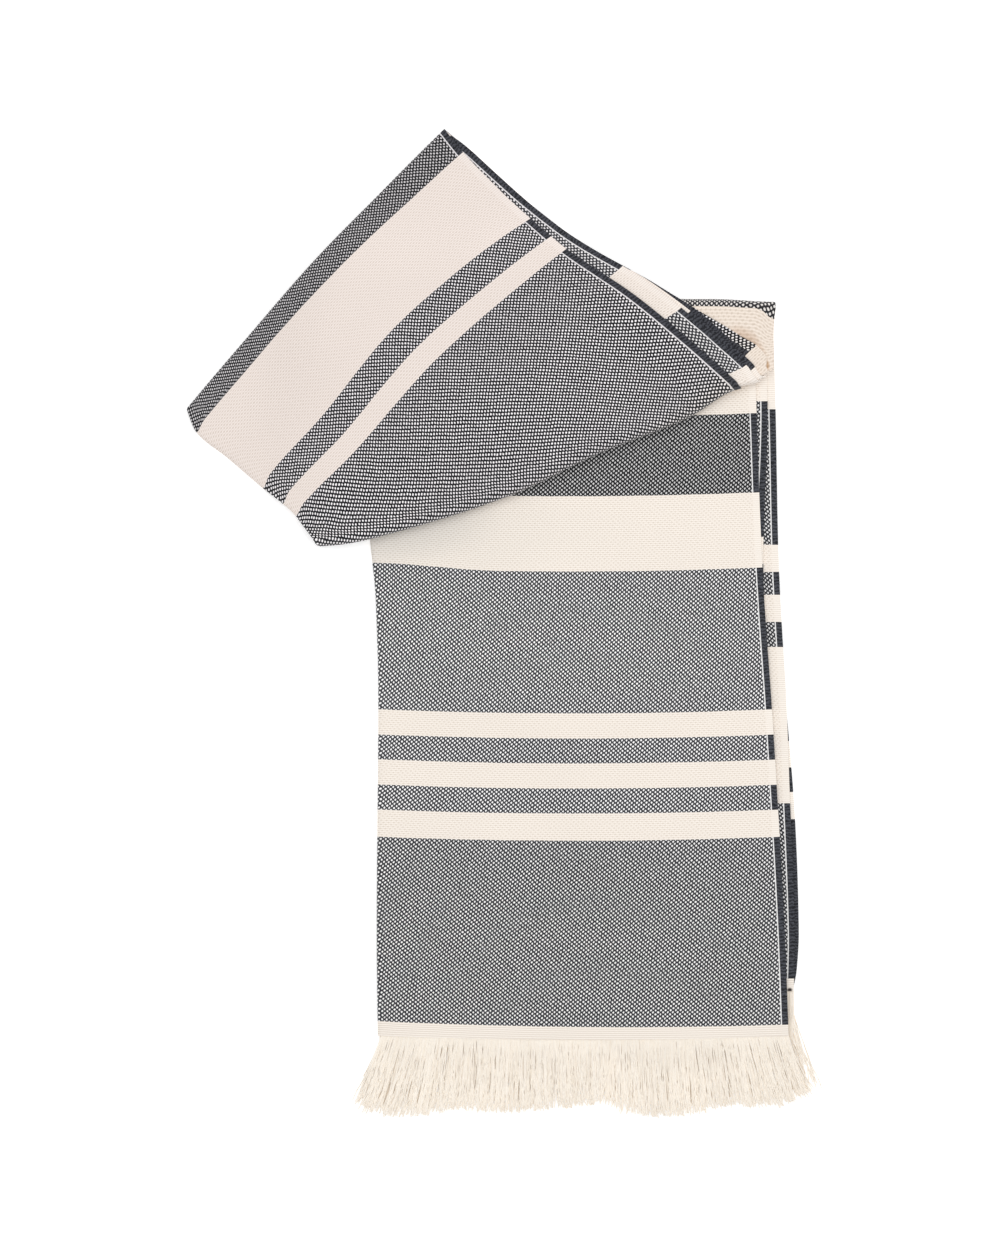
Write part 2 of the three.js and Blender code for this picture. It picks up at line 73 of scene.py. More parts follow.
def plateau(value: Array, rise: float, full: float, fade: float, gone: float) -> Array:
    """Rise smoothly from 0 at rise to 1 at full, and fall back from fade to 0 at gone."""
    return smoothstep(value, rise, full) * (1 - smoothstep(value, fade, gone))


def crowded(part: Array, ease: float) -> Array:
    """Draw even places from 0 to 1 towards both ends."""
    return lerp(part, (1 - np.cos(math.pi * part)) / 2, ease)


def arch(share: float | Array) -> Array:
    """Rise in a low arch over the width: 0 at both sides and 1 in the middle."""
    return np.maximum(4 * share * (1 - share), 0)


def smooth_value(keys: Array, values: Array, at: Array) -> Array:
    """Read a table smoothly and without overshoot (a monotone cubic), straight past both ends.

    Args:
        keys: The table's keys, of shape (rows,) or (rows, *at.shape).
        values: The table's values, of either shape.
        at: Where to read it.

    Returns:
        The values, in the shape of at.
    """
    at = np.asarray(at, float)
    rows = len(keys)

    def spread(column: Array) -> Array:
        """Give a column the shape (rows, *at.shape)."""
        column = np.asarray(column, float)
        column = column if column.ndim > 1 else column.reshape((rows,) + (1,) * at.ndim)
        return np.broadcast_to(column, (rows,) + at.shape)

    keys, values = spread(keys), spread(values)
    slopes = np.diff(values, axis=0) / np.diff(keys, axis=0)
    product = slopes[:-1] * slopes[1:]
    total = np.where(slopes[:-1] + slopes[1:] == 0, 1, slopes[:-1] + slopes[1:])
    inner = np.where(product > 0, 2 * product / total, 0)
    tangents = np.concatenate([slopes[:1], inner, slopes[-1:]])
    index = np.clip((keys <= at).sum(axis=0) - 1, 0, rows - 2)[None]

    def pick(column: Array, step: int = 0) -> Array:
        """Take each point's own row of a column."""
        return np.take_along_axis(column, index + step, axis=0)[0]

    low, high = pick(values), pick(values, 1)
    span = pick(keys, 1) - pick(keys)
    part = (at - pick(keys)) / span
    t = np.clip(part, 0, 1)
    value = (1 + 2 * t) * (1 - t) ** 2 * low + t * (1 - t) ** 2 * span * pick(tangents)
    value += t * t * (3 - 2 * t) * high - t * t * (1 - t) * span * pick(tangents, 1)
    value += np.where(part < 0, part * span * slopes[0], 0)
    return value + np.where(part > 1, (part - 1) * span * slopes[-1], 0)


@dataclass(frozen=True)
class Table:
    """A short table with named columns, read smoothly by its first column."""

    names: tuple[str, ...]
    rows: tuple[tuple[float, ...], ...]

    def column(self, name: str) -> Array:
        """Give one column as an array."""
        return np.array([row[self.names.index(name)] for row in self.rows])

    def read(self, name: str, at: float | Array) -> Array:
        """Read a column where the first column is at."""
        return smooth_value(self.column(self.names[0]), self.column(name), np.asarray(at, float))


# ---------------------------------------------------------------- the fold
class Side(Enum):
    """The upper and the lower layer of one half of the cloth, as places about the strip's middle."""

    UPPER = 1
    LOWER = -1


class Half(Enum):
    """The two halves of the cloth: the outer one wraps round the inner one."""

    OUTER = 0.0
    INNER = math.pi


@dataclass(frozen=True)
class Hem:
    """The y of a hem at the folded side and at the selvedges of its two layers."""

    folded: float
    upper: float
    lower: float

    def at(self, upper: Array, share: Array) -> Array:
        """Give the hem's y at shares of the width, on the upper layer where upper is True."""
        end = np.where(upper, self.upper, self.lower)
        return lerp(self.folded, end, np.clip(share, 0, None))


@dataclass(frozen=True)
class StripFold:
    """The folded strip's middle surface and the four layers about it, in millimetres."""

    thickness: float = 1.2
    layer_pitch: float = 1.75
    run_gap: float = 0.5
    droop_length: float = 70.0
    droop_start: float = 2.0
    arm_droop_start: float = 16.0
    stripe_sag: float = 3.4
    sag_end_y: float = 191.0
    far_axis_y: float = 271.2
    far_corner_drop: float = 2.4
    far_corner_start: float = 0.9
    far_corner_end: float = 1.06
    flat_width: float = 345.0
    ripple: float = 0.9
    ripple_parts: tuple[float, float] = (0.55, 0.45)
    ripple_lengths: tuple[float, ...] = (31.0, 57.0, 43.0, 38.0, 61.0)
    ripple_phases: tuple[float, float] = (0.9, 2.1)
    ripple_bend: float = 1.7
    ripple_slants: tuple[float, float] = (1.4, 0.8)
    outer_hem: Hem = Hem(-354, -354, -325)
    inner_hem: Hem = Hem(-313, -309, -316)
    lag_peak: float = 0.24
    lag_end: float = 0.58
    dark_end_y: float = -343.7
    crease_corner: tuple[float, float] = (-157.0, 70.0)
    normal_steps: tuple[float, float] = (0.004, 0.002)
    crease_places: Table = Table(
        ("share", "x_in", "x_out"),
        (
            (0, -150, -155), (0.25, -47.7, -53), (0.5, 42.4, 36.9), (0.75, 127.4, 121.7),
            (1, 210.5, 204.5), (1.1, 246.5, 240.4),
        ),
    )
    shoulder: tuple[tuple[float, float, float], ...] = ((0.275, 166.6, 239.0), (0.64, 113.3, 282.4))
    shoulder_curve: int = 3
    crease_along: Table = Table(
        ("share", "along"), ((0, 830), (0.25, 779), (0.5, 733), (0.75, 702), (1, 680))
    )
    bottom_outline: Table = Table(
        ("y", "folded", "selvedge"),
        (
            (-356, -104, 248.5), (-264, -105, 245), (-66, -103.7, 233.5), (20, -106, 227.5),
            (67, -110.5, 225), (191, -122, 220.5), (275, -126, 217),
        ),
    )
    bottom_reach: Table = Table(
        ("y", "inner_upper", "inner_lower", "face_lower"),
        (
            (-356, -4, 3, 0), (-325, -4, 5, 3), (-300, -4, 7, 9), (-263, -4, 9, 12.5),
            (-155, -4, 11, 14.5), (-66, -3, 13.5, 13), (51, 1, 15, 11), (191, 10, 17, 14),
            (275, 11, 18, 20),
        ),
    )
    upper_reach: Table = Table(
        ("station", "inner_upper", "inner_lower", "face_lower"),
        (
            (1, 11, 18, 20), (2, 11, 17.5, 20), (3, 15.5, 20.5, 26.5), (4, 16.5, 21.5, 28.5),
            (4.04, 19.5, 24.2, 35), (4.07, 19.6, 24.2, 36), (4.12, 19.3, 23.4, 33),
            (4.17, 19.5, 22.7, 30.8), (4.22, 19.3, 22.6, 28), (4.27, 19, 22, 25.2),
            (4.32, 18.5, 20.9, 22.6), (4.37, 18, 19.7, 20.5), (4.4, 17.6, 18.8, 19.2),
            (4.47, 15.9, 16.6, 16.9), (4.54, 14.4, 14.8, 15.1), (4.59, 13.1, 13.5, 13.8),
            (4.68, 11.2, 11.6, 11.9), (4.75, 9.7, 10.1, 10.4), (4.83, 8.3, 8.7, 9), (4.91, 6.6, 7, 7.3),
            (5, 0, 0.5, 0.5),
        ),
    )
    crease_line: Table = Table(
        ("x", "y"),
        (
            (-160, 65), (-135, 67), (-81, 79.7), (9, 108.8), (87, 145.7), (163, 176), (201, 199),
            (211, 201.5), (221, 203.6), (230.5, 208.2), (238, 213), (252, 219),
        ),
    )
    arm_outline: Table = Table(
        ("along", "folded_x", "folded_y", "selvedge_x", "selvedge_y", "bow", "lag"),
        (
            (864, -175.4, 92.8, 57.6, 319.4, 10.6, 5.0), (908, -204.9, 117.3, 26.1, 346.8, 16, 6.2),
            (947, -232.5, 141, -3.2, 375, 11, 3.0), (985, -260.5, 164.5, -30.6, 403.4, 6.4, 0),
            (1011, -268.3, 183.2, -47.1, 423.8, 4.2, 0),
        ),
    )

    @property
    def half_stack(self) -> float:
        """Half of the height of the strip's four layers."""
        return 1.5 * self.layer_pitch + self.thickness / 2

    @property
    def run_pitch(self) -> float:
        """The height from one run of the strip to the next."""
        return 2 * self.half_stack + self.run_gap

    @property
    def turn_radius(self) -> float:
        """The radius that the strip's middle surface turns over with."""
        return self.run_pitch / 2

    @property
    def far_edge_y(self) -> float:
        """The y of the far end of the folded runs."""
        return self.far_axis_y + self.turn_radius + self.half_stack

    def folded_side(self, y: Array) -> Array:
        """The x of the bottom run's folded side."""
        return self.bottom_outline.read("folded", y)

    def selvedge_side(self, y: Array) -> Array:
        """The x of the top layer's selvedge on the bottom run."""
        return self.bottom_outline.read("selvedge", y)

    def rippled(self, x: Array, y: Array) -> Array:
        """Give the low, soft waves that loose cloth keeps when it lies flat.

        Args:
            x: Places across the floor.
            y: Places along the floor.

        Returns:
            A lift of zero to twice the ripple's height.
        """
        lengths, phases, slants = self.ripple_lengths, self.ripple_phases, self.ripple_slants
        bent = x / lengths[0] + self.ripple_bend * np.sin(y / lengths[1])
        first = np.sin(bent) * np.sin(y / lengths[2] + phases[0])
        second = np.sin((x + slants[0] * y) / lengths[3] + phases[1])
        second *= np.sin((x - slants[1] * y) / lengths[4])
        return self.ripple * (1 + self.ripple_parts[0] * first + self.ripple_parts[1] * second)

    def carried(self, distance: Array, start: float) -> Array:
        """How much of its height the strip still has at a distance past the edge that carries it."""
        return 1 - smoothstep(distance, start, start + self.droop_length)

    def middle_height(self, x: Array, y: Array) -> Array:
        """The middle run's height: it lies on the bottom run and hangs over its folded side."""
        held = self.carried(self.folded_side(y) - x, self.droop_start)
        return self.half_stack + self.run_pitch * held

    def arm_height(self, x: Array, y: Array) -> Array:
        """Work out the arm's height: it lies on both runs and hangs over their sides and far fold.

        Args:
            x: Places across the floor.
            y: Places along the floor.

        Returns:
            The height of its middle surface.
        """
        beyond = np.maximum(y - self.far_edge_y, 0)
        corner_x, corner_y = self.crease_corner
        towards = (self.far_edge_y - y) / (self.far_edge_y - corner_y)
        middle_folded = lerp(self.folded_side(self.far_edge_y), corner_x, towards)
        past_bottom = np.hypot(np.maximum(self.folded_side(y) - x, 0), beyond)
        past_middle = np.hypot(np.maximum(middle_folded - x, 0), beyond)
        lift = self.carried(past_bottom, self.arm_droop_start)
        lift = lift + self.carried(past_middle, self.arm_droop_start)
        return self.half_stack + self.run_pitch * lift

    def bottom_point(self, y: Array, share: Array) -> Array:
        """Give points of the bottom run's middle surface, with the weft's sag.

        Args:
            y: The y of each point's row before its sag.
            share: Shares of the width.

        Returns:
            Points, with x, y and z on the last axis.
        """
        sag = self.stripe_sag * arch(share) * (1 - smoothstep(y, self.sag_end_y, self.far_axis_y))
        x = lerp(self.folded_side(y) + self.half_stack, self.selvedge_side(y), share)
        return np.stack([x, y - sag, np.full_like(x, self.half_stack)], axis=-1)

    def far_axis(self, share: Array) -> Array:
        """Give the points that the strip turns round at the far end.

        Args:
            share: Shares of the width.

        Returns:
            The points, the last of them drawn back a little at the corner.
        """
        point = self.bottom_point(np.full_like(share, self.far_axis_y), share)
        drop = smoothstep(share, self.far_corner_start, self.far_corner_end)
        point[..., 1] = self.far_axis_y - self.far_corner_drop * drop
        return point

    def crease_frame(self, x: Array) -> tuple[Array, Array]:
        """Find the axis that the strip turns round at its slanting crease.

        Args:
            x: Places along the crease.

        Returns:
            The axis points and the outward directions.
        """
        rise = self.crease_line.read("y", x + 1) - self.crease_line.read("y", x - 1)
        outward = np.stack([rise, np.full_like(x, -2.0), np.zeros_like(x)], axis=-1)
        outward /= np.linalg.norm(outward, axis=-1, keepdims=True)
        line = np.stack([x, self.crease_line.read("y", x), np.zeros_like(x)], axis=-1)
        return line - outward * (self.turn_radius + self.half_stack), outward

    def arm_start(self, share: Array) -> Array:
        """The cloth length where the strip leaves the crease."""
        return self.crease_along.read("along", share)

    def bottom_run(self, t: Array, share: Array, upper: Array, hem: Hem) -> tuple[Array, Array]:
        """Give points of the bottom run from a hem, t = 0, to the far fold, t = 1."""
        y = lerp(hem.at(upper, share), self.far_axis_y, t)
        return self.bottom_point(y, share), y - self.dark_end_y

    def far_fold(self, t: Array, share: Array) -> tuple[Array, Array]:
        """Give points round the far fold.

        Args:
            t: Parts of the way round it.
            share: Shares of the width.

        Returns:
            The points, and how far along the cloth each is.
        """
        angle = t * math.pi
        point = self.far_axis(share)
        point[..., 1] += self.turn_radius * np.sin(angle)
        point[..., 2] += self.turn_radius * (1 - np.cos(angle))
        return point, self.far_axis_y - self.dark_end_y + self.turn_radius * angle

    def middle_run(self, t: Array, share: Array) -> tuple[Array, Array]:
        """Give points of the middle run.

        Args:
            t: Parts of the way from the far fold to the crease.
            share: Shares of the width.

        Returns:
            The points, and how far along the cloth each is.
        """
        axis, _ = self.crease_frame(self.crease_places.read("x_in", share))
        point = lerp(self.far_axis(share), axis, t[..., None])
        point[..., 2] = self.middle_height(point[..., 0], point[..., 1])
        start = self.far_axis_y - self.dark_end_y + self.turn_radius * math.pi
        return point, lerp(start, self.arm_start(share) - self.turn_radius * math.pi, t)

    def crease(self, t: Array, share: Array) -> tuple[Array, Array]:
        """Give points round the slanting crease.

        Args:
            t: Parts of the way round it.
            share: Shares of the width.

        Returns:
            The points, and how far along the cloth each is.
        """
        angle = t * math.pi
        axis_in, outward_in = self.crease_frame(self.crease_places.read("x_in", share))
        axis_out, outward_out = self.crease_frame(self.crease_places.read("x_out", share))
        start = self.middle_height(axis_in[..., 0], axis_in[..., 1])
        end = self.arm_height(axis_out[..., 0], axis_out[..., 1]) - self.run_pitch
        point = lerp(axis_in, axis_out, t[..., None])
        swing = self.turn_radius * np.sin(angle)
        point = point + lerp(outward_in, outward_out, t[..., None]) * swing[..., None]
        point[..., 2] = lerp(start, end, t) + self.turn_radius * (1 - np.cos(angle))
        return point, self.arm_start(share) - self.turn_radius * (math.pi - angle)

    def arm_row(self, row: tuple[float, ...], share: Array) -> Array:
        """Give the points across the arm at one row of its outline.

        Args:
            row: The row.
            share: Shares of the width.

        Returns:
            The x and y of each point, on a new last axis.
        """
        folded, selvedge, (bow, lag) = np.array(row[1:3]), np.array(row[3:5]), row[5:]
        across = (selvedge - folded) / np.linalg.norm(selvedge - folded)
        ahead = np.array([-across[1], across[0]])
        late = plateau(share, 0, self.lag_peak, self.lag_peak, self.lag_end)
        aside = bow * arch(share) - lag * late
        line = lerp(folded + across * self.half_stack, selvedge, share[..., None])
        return line + ahead * aside[..., None]

    def arm(self, t: Array, share: Array) -> tuple[Array, Array]:
        """Give points of the arm. Its last row stays back by the crosswise fold's own thickness.

        Args:
            t: Parts of the way from the crease to the arm's end.
            share: Shares of the width.

        Returns:
            The points, and how far along the cloth each is.
        """
        outline = self.arm_outline.rows
        start = self.crease_frame(self.crease_places.read("x_out", share))[0][..., :2]
        start_corner = self.crease_frame(self.crease_places.read("x_out", 1.0))[0][:2]
        first, first_corner = self.arm_row(outline[0], share), np.array(outline[0][3:5])
        pull = (np.clip(share, 0, 1) ** self.shoulder_curve)[..., None]
        keys, places = [self.arm_start(share)], [start]
        for part, *corner in self.shoulder:
            aside = np.array(corner) - lerp(start_corner, first_corner, part)
            keys.append(lerp(keys[0], outline[0][0], part))
            places.append(lerp(start, first, part) + aside * pull)
        for row in outline:
            keys.append(np.full_like(share, row[0]))
            places.append(self.arm_row(row, share))
        drawn_back = (self.layer_pitch + self.thickness) / 2
        along = lerp(keys[0], outline[-1][0] - drawn_back, t)
        x, y = (smooth_value(np.array(keys), np.array(places)[..., axis], along) for axis in (0, 1))
        return np.stack([x, y, self.arm_height(x, y)], axis=-1), along

    def middle_surface(self, t: Array, share: Array, upper: Array, hem: Hem) -> tuple[Array, Array]:
        """Give points of the strip's middle surface.

        Args:
            t: Places along the strip: 0 to 1 is the bottom run, 1 to 2 the far fold, 2 to 3 the
                middle run, 3 to 4 the slanting crease and 4 to 5 the arm.
            share: Shares of the strip's width.
            upper: True where the layer is the upper one, whose hem the bottom run starts from.
            hem: The hem of this half of the cloth.

        Returns:
            The points, and how far along the cloth each is from the dark end at the hem.
        """
        t, share, upper = np.broadcast_arrays(t, share, upper)
        points = np.zeros(t.shape + (3,))
        along = np.zeros(t.shape)
        stretches = (self.far_fold, self.middle_run, self.crease, self.arm)
        here = t < 1
        if here.any():
            points[here], along[here] = self.bottom_run(t[here], share[here], upper[here], hem)
        for start, stretch in enumerate(stretches, start=1):
            here = (t >= start) & ((t < start + 1) | (start == len(stretches)))
            if here.any():
                points[here], along[here] = stretch(t[here] - start, share[here])
        points[..., 2] += self.rippled(points[..., 0], points[..., 1])
        return points, along

    def frame_at(self, t: Array, share: Array, upper: Array, hem: Hem) -> tuple[Array, Array, Array]:
        """Give points of the middle surface with their normals, which are up on the bottom run.

        Args:
            t: Places along the strip.
            share: Shares of the strip's width.
            upper: True where the layer is the upper one.
            hem: The hem of this half of the cloth.

        Returns:
            Points, unit normals and lengths along the cloth.
        """
        step_t, step_share = self.normal_steps
        points, along = self.middle_surface(t, share, upper, hem)
        ahead = self.middle_surface(np.minimum(t + step_t, STRIP_END), share, upper, hem)[0]
        behind = self.middle_surface(np.maximum(t - step_t, 0), share, upper, hem)[0]
        right = self.middle_surface(t, share + step_share, upper, hem)[0]
        left = self.middle_surface(t, share - step_share, upper, hem)[0]
        normals = np.cross(right - left, ahead - behind)
        normals /= np.linalg.norm(normals, axis=-1, keepdims=True)
        return points, normals, along

    def reach(self, upper: Array, half: Half, t: Array, y: Array) -> Array:
        """How far a layer's selvedge stands out past that of the top layer.

        Args:
            upper: True where the layer is the upper one.
            half: The half of the cloth.
            t: Places along the strip.
            y: The y of each row, for the bottom run.

        Returns:
            The reach of each point's layer.
        """
        def read(name: str) -> Array:
            """Read one layer's reach on the bottom run and past it."""
            return np.where(t < 1, self.bottom_reach.read(name, y), self.upper_reach.read(name, t))

        if half is Half.OUTER:
            return np.where(upper, 0, read("face_lower"))
        return np.where(upper, read("inner_upper"), read("inner_lower"))


# ---------------------------------------------------------------- node graphs
class Value:
    """An output in a node graph. Sums with it add Math nodes, so that a graph reads as a formula."""

    def __init__(self, graph: "Graph", socket: bpy.types.NodeSocket) -> None:
        """Hold an output of one of the graph's nodes."""
        self.graph = graph
        self.socket = socket

    def __add__(self, other: "Value | float") -> "Value":
        """Add a value."""
        return self.graph.math("ADD", self, other)

    def __sub__(self, other: "Value | float") -> "Value":
        """Subtract a value."""
        return self.graph.math("SUBTRACT", self, other)

    def __rsub__(self, other: float) -> "Value":
        """Subtract this value from a number."""
        return self.graph.math("SUBTRACT", other, self)

    def __mul__(self, other: "Value | float") -> "Value":
        """Multiply by a value."""
        return self.graph.math("MULTIPLY", self, other)

    def __truediv__(self, other: "Value | float") -> "Value":
        """Divide by a value."""
        return self.graph.math("DIVIDE", self, other)

    def __pow__(self, power: "Value | float") -> "Value":
        """Raise to a power."""
        return self.graph.math("POWER", self, power)


class Graph:
    """A node tree being built, with short calls for the nodes used most."""

    def __init__(self, tree: bpy.types.NodeTree) -> None:
        """Start on a tree."""
        self.tree = tree

    def feed(self, node: bpy.types.Node, inputs: dict) -> None:
        """Link values into a node's inputs, or set the inputs.

        Args:
            node: The node.
            inputs: What goes into its inputs, by their names or numbers.
        """
        for name, value in inputs.items():
            if isinstance(value, Value):
                self.tree.links.new(value.socket, node.inputs[name])
            else:
                node.inputs[name].default_value = value

    def add(self, kind: str, inputs: dict | None = None, **settings: object) -> bpy.types.Node:
        """Add a node.

        Args:
            kind: The node's type.
            inputs: What goes into its inputs, by their names or numbers.
            **settings: Properties of the node.

        Returns:
            The node.
        """
        node = self.tree.nodes.new(kind)
        for name, value in settings.items():
            setattr(node, name, value)
        self.feed(node, inputs or {})
        return node

    def out(self, node: bpy.types.Node, name: str | int) -> Value:
        """Give one of a node's outputs."""
        return Value(self, node.outputs[name])

    def get(self, kind: str, name: str | int, inputs: dict | None = None, **settings: object) -> Value:
        """Add a node and give its output of the given name or number."""
        return self.out(self.add(kind, inputs, **settings), name)

    def math(self, operation: str, *values: Value | float, clamp: bool = False) -> Value:
        """Add a Math node, with its inputs in order, and give its result."""
        given = dict(enumerate(values))
        return self.get("ShaderNodeMath", 0, given, operation=operation, use_clamp=clamp)

    def wave(self, turns: Value) -> Value:
        """Give the cosine of an angle that is counted in turns."""
        return self.math("COSINE", turns * (2 * math.pi))

    def within(self, value: Value, start: float, end: float) -> Value:
        """Give 1 where the value lies from start to end, and 0 elsewhere."""
        return self.math("COMPARE", value, (start + end) / 2, (end - start) / 2)

    def ramp(self, value: Value, low: float, high: Value | float, start: float = 0.0,
             end: float = 1.0) -> Value:
        """Go from start to end with a smooth step, as the value goes from low to high."""
        given = dict(enumerate((value, low, high, start, end)))
        return self.get("ShaderNodeMapRange", "Result", given, interpolation_type="SMOOTHSTEP")

    def mix(self, part: Value | float, first: Value | tuple, second: Value | tuple,
            blend: str = "MIX") -> Value:
        """Mix two colours, with a part from 0 to 1 of the second one laid over the first."""
        given = {"Factor": part, "A": first, "B": second}
        return self.get("ShaderNodeMix", "Result", given, data_type="RGBA", blend_type=blend)

    def multiply(self, first: Value, second: Value) -> Value:
        """Multiply two colours."""
        return self.mix(1.0, first, second, "MULTIPLY")

    def colour_ramp(self, part: Value, stops: list, interpolation: str = "LINEAR") -> Value:
        """Add a colour ramp.

        Args:
            part: The value to read it at, from 0 to 1.
            stops: A place and a colour for each stop, in order.
            interpolation: How it goes from one stop to the next.

        Returns:
            The ramp's colour.
        """
        node = self.add("ShaderNodeValToRGB", {"Fac": part})
        node.color_ramp.interpolation = interpolation
        elements = node.color_ramp.elements
        for index, (place, colour) in enumerate(stops):
            stop = elements[index] if index < 2 else elements.new(place)
            stop.position = place
            stop.color = colour
        return self.out(node, "Color")

    def noise(self, vector: Value, scale: Value | float, detail: float = 2.0) -> Value:
        """Add a Noise Texture and give its value, from about -0.5 to 0.5."""
        given = {"Vector": vector, "Scale": scale, "Detail": detail}
        return self.get("ShaderNodeTexNoise", "Fac", given) - 0.5

    def bump(self, height: Value, strength: float, depth: float) -> Value:
        """Give the normal of a surface with small bumps of a depth in metres."""
        given = {"Strength": strength, "Distance": depth, "Height": height}
        return self.get("ShaderNodeBump", "Normal", given)


def add_sockets(tree: bpy.types.NodeTree, in_out: str, kind: str, defaults: dict) -> None:
    """Add sockets of one kind to a node group.

    Args:
        tree: The group.
        in_out: INPUT or OUTPUT.
        kind: The sockets' type, such as Float.
        defaults: Each socket's default value by its name, or None.
    """
    for name, value in defaults.items():
        socket = tree.interface.new_socket(name, in_out=in_out, socket_type="NodeSocket" + kind)
        if value is not None:
            socket.default_value = value


def new_material(name: str, settings: dict) -> tuple[bpy.types.Material, Graph, bpy.types.Node]:
    """Start a material.

    Args:
        name: Its name.
        settings: Values of its Principled BSDF's inputs.

    Returns:
        The material, its graph and its Principled BSDF.
    """
    material = bpy.data.materials.new(name)
    material.use_nodes = True
    graph = Graph(material.node_tree)
    shader = material.node_tree.nodes["Principled BSDF"]
    graph.feed(shader, settings)
    return material, graph, shader


def rgb(red: float, green: float, blue: float) -> tuple[float, float, float, float]:
    """Turn an sRGB colour of 0 to 255 into the linear colour that a socket holds."""
    linear = [((v / 255 + 0.055) / 1.055) ** 2.4 for v in (red, green, blue)]
    return (linear[0], linear[1], linear[2], 1.0)


# ---------------------------------------------------------------- finishes
@dataclass(frozen=True)
class Cotton:
    """Spun cotton: matt, a little fuzzy and uneven, as the cloth and the fringe share it."""

    roughness: float
    bump_strength: float
    bump_depth: float
    cloud_scale: float = 9.0
    cloud_strength: float = 0.06
    fuzz_scale: float = 900.0
    fuzz_strength: float = 0.10
    group_name: str = "cotton fibre"

    @property
    def settings(self) -> dict:
        """The plain values of the shader's inputs."""
        sheen = {"Sheen Weight": 0.15, "Sheen Roughness": 0.6}
        return {"Roughness": self.roughness, "Specular IOR Level": 0.2, **sheen}

    def fibre_group(self) -> bpy.types.NodeTree:
        """Build the shader group once.

        Returns:
            The group: a vector, scales and strengths in, a tone and a height out.
        """
        existing = bpy.data.node_groups.get(self.group_name)
        if existing is not None:
            return existing
        tree = bpy.data.node_groups.new(self.group_name, "ShaderNodeTree")
        sizes = {"Fuzz scale": self.fuzz_scale, "Cloud scale": self.cloud_scale}
        sizes["Cloud strength"] = self.cloud_strength
        add_sockets(tree, "INPUT", "Vector", {"Vector": None})
        add_sockets(tree, "INPUT", "Float", sizes)
        add_sockets(tree, "OUTPUT", "Float", {"Tone": None, "Height": None})
        graph = Graph(tree)
        given = graph.add("NodeGroupInput")
        place = graph.out(given, "Vector")
        fuzz = graph.noise(place, graph.out(given, "Fuzz scale"))
        cloud = graph.noise(place, graph.out(given, "Cloud scale"))
        tone = cloud * graph.out(given, "Cloud strength") + fuzz * self.fuzz_strength + 1.0
        graph.add("NodeGroupOutput", {"Tone": tone, "Height": fuzz})
        return tree

    def fibre(self, graph: Graph, place: Value) -> tuple[Value, Value]:
        """Place the fibre group in a material.

        Args:
            graph: The material's graph.
            place: Where on the surface it is read.

        Returns:
            The fibre's tone and its height.
        """
        given = {"Vector": place, "Cloud scale": self.cloud_scale, "Cloud strength": self.cloud_strength}
        node = graph.add("ShaderNodeGroup", given, node_tree=self.fibre_group())
        return graph.out(node, "Tone"), graph.out(node, "Height")

    def finish(self, graph: Graph, shader: bpy.types.Node, colour: Value, tone: Value,
               height: Value) -> None:
        """Feed a shader with its toned colour and its bumps.

        Args:
            graph: The material's graph.
            shader: Its Principled BSDF.
            colour: The colour before the fibre's tone.
            tone: The fibre's tone.
            height: The height of the bumps.
        """
        scaled = {0: colour, "Scale": tone}
        toned = graph.get("ShaderNodeVectorMath", "Vector", scaled, operation="SCALE")
        normal = graph.bump(height, self.bump_strength, self.bump_depth)
        graph.feed(shader, {"Base Color": toned, "Normal": normal})


@dataclass(frozen=True)
class Stripe:
    """One dark stripe: where it starts and ends along the cloth, and its weft's and flecks' tones."""

    start: float
    end: float
    weft: float
    flecks: float


@dataclass(frozen=True)
class PaintedShadeAndSpeck:
    """A soft-edged tint that paints shade, in a dimple, a fold pocket or the arm's shadow, or marks a
    real dark speck: its middle, half-lengths, slant and tint.
    """

    across: float
    along: float
    long_half: float
    short_half: float
    slant: float
    tint: tuple

    def patch_part(self, graph: Graph, across: Value, along: Value) -> Value:
        """Add the value that is 1 in the middle of the tinted patch and 0 at its rim.

        Args:
            graph: The material's graph.
            across: Place across the cloth, in millimetres.
            along: Place along the cloth, in millimetres.

        Returns:
            The value.
        """
        aside, ahead = across - self.across, along - self.along
        cos, sin = math.cos(self.slant), math.sin(self.slant)
        lengthwise = (aside * cos + ahead * sin) / self.long_half
        crosswise = (ahead * cos - aside * sin) / self.short_half
        return graph.ramp(lengthwise**2.0 + crosswise**2.0, 0.0, 1.0, 1.0, 0.0)


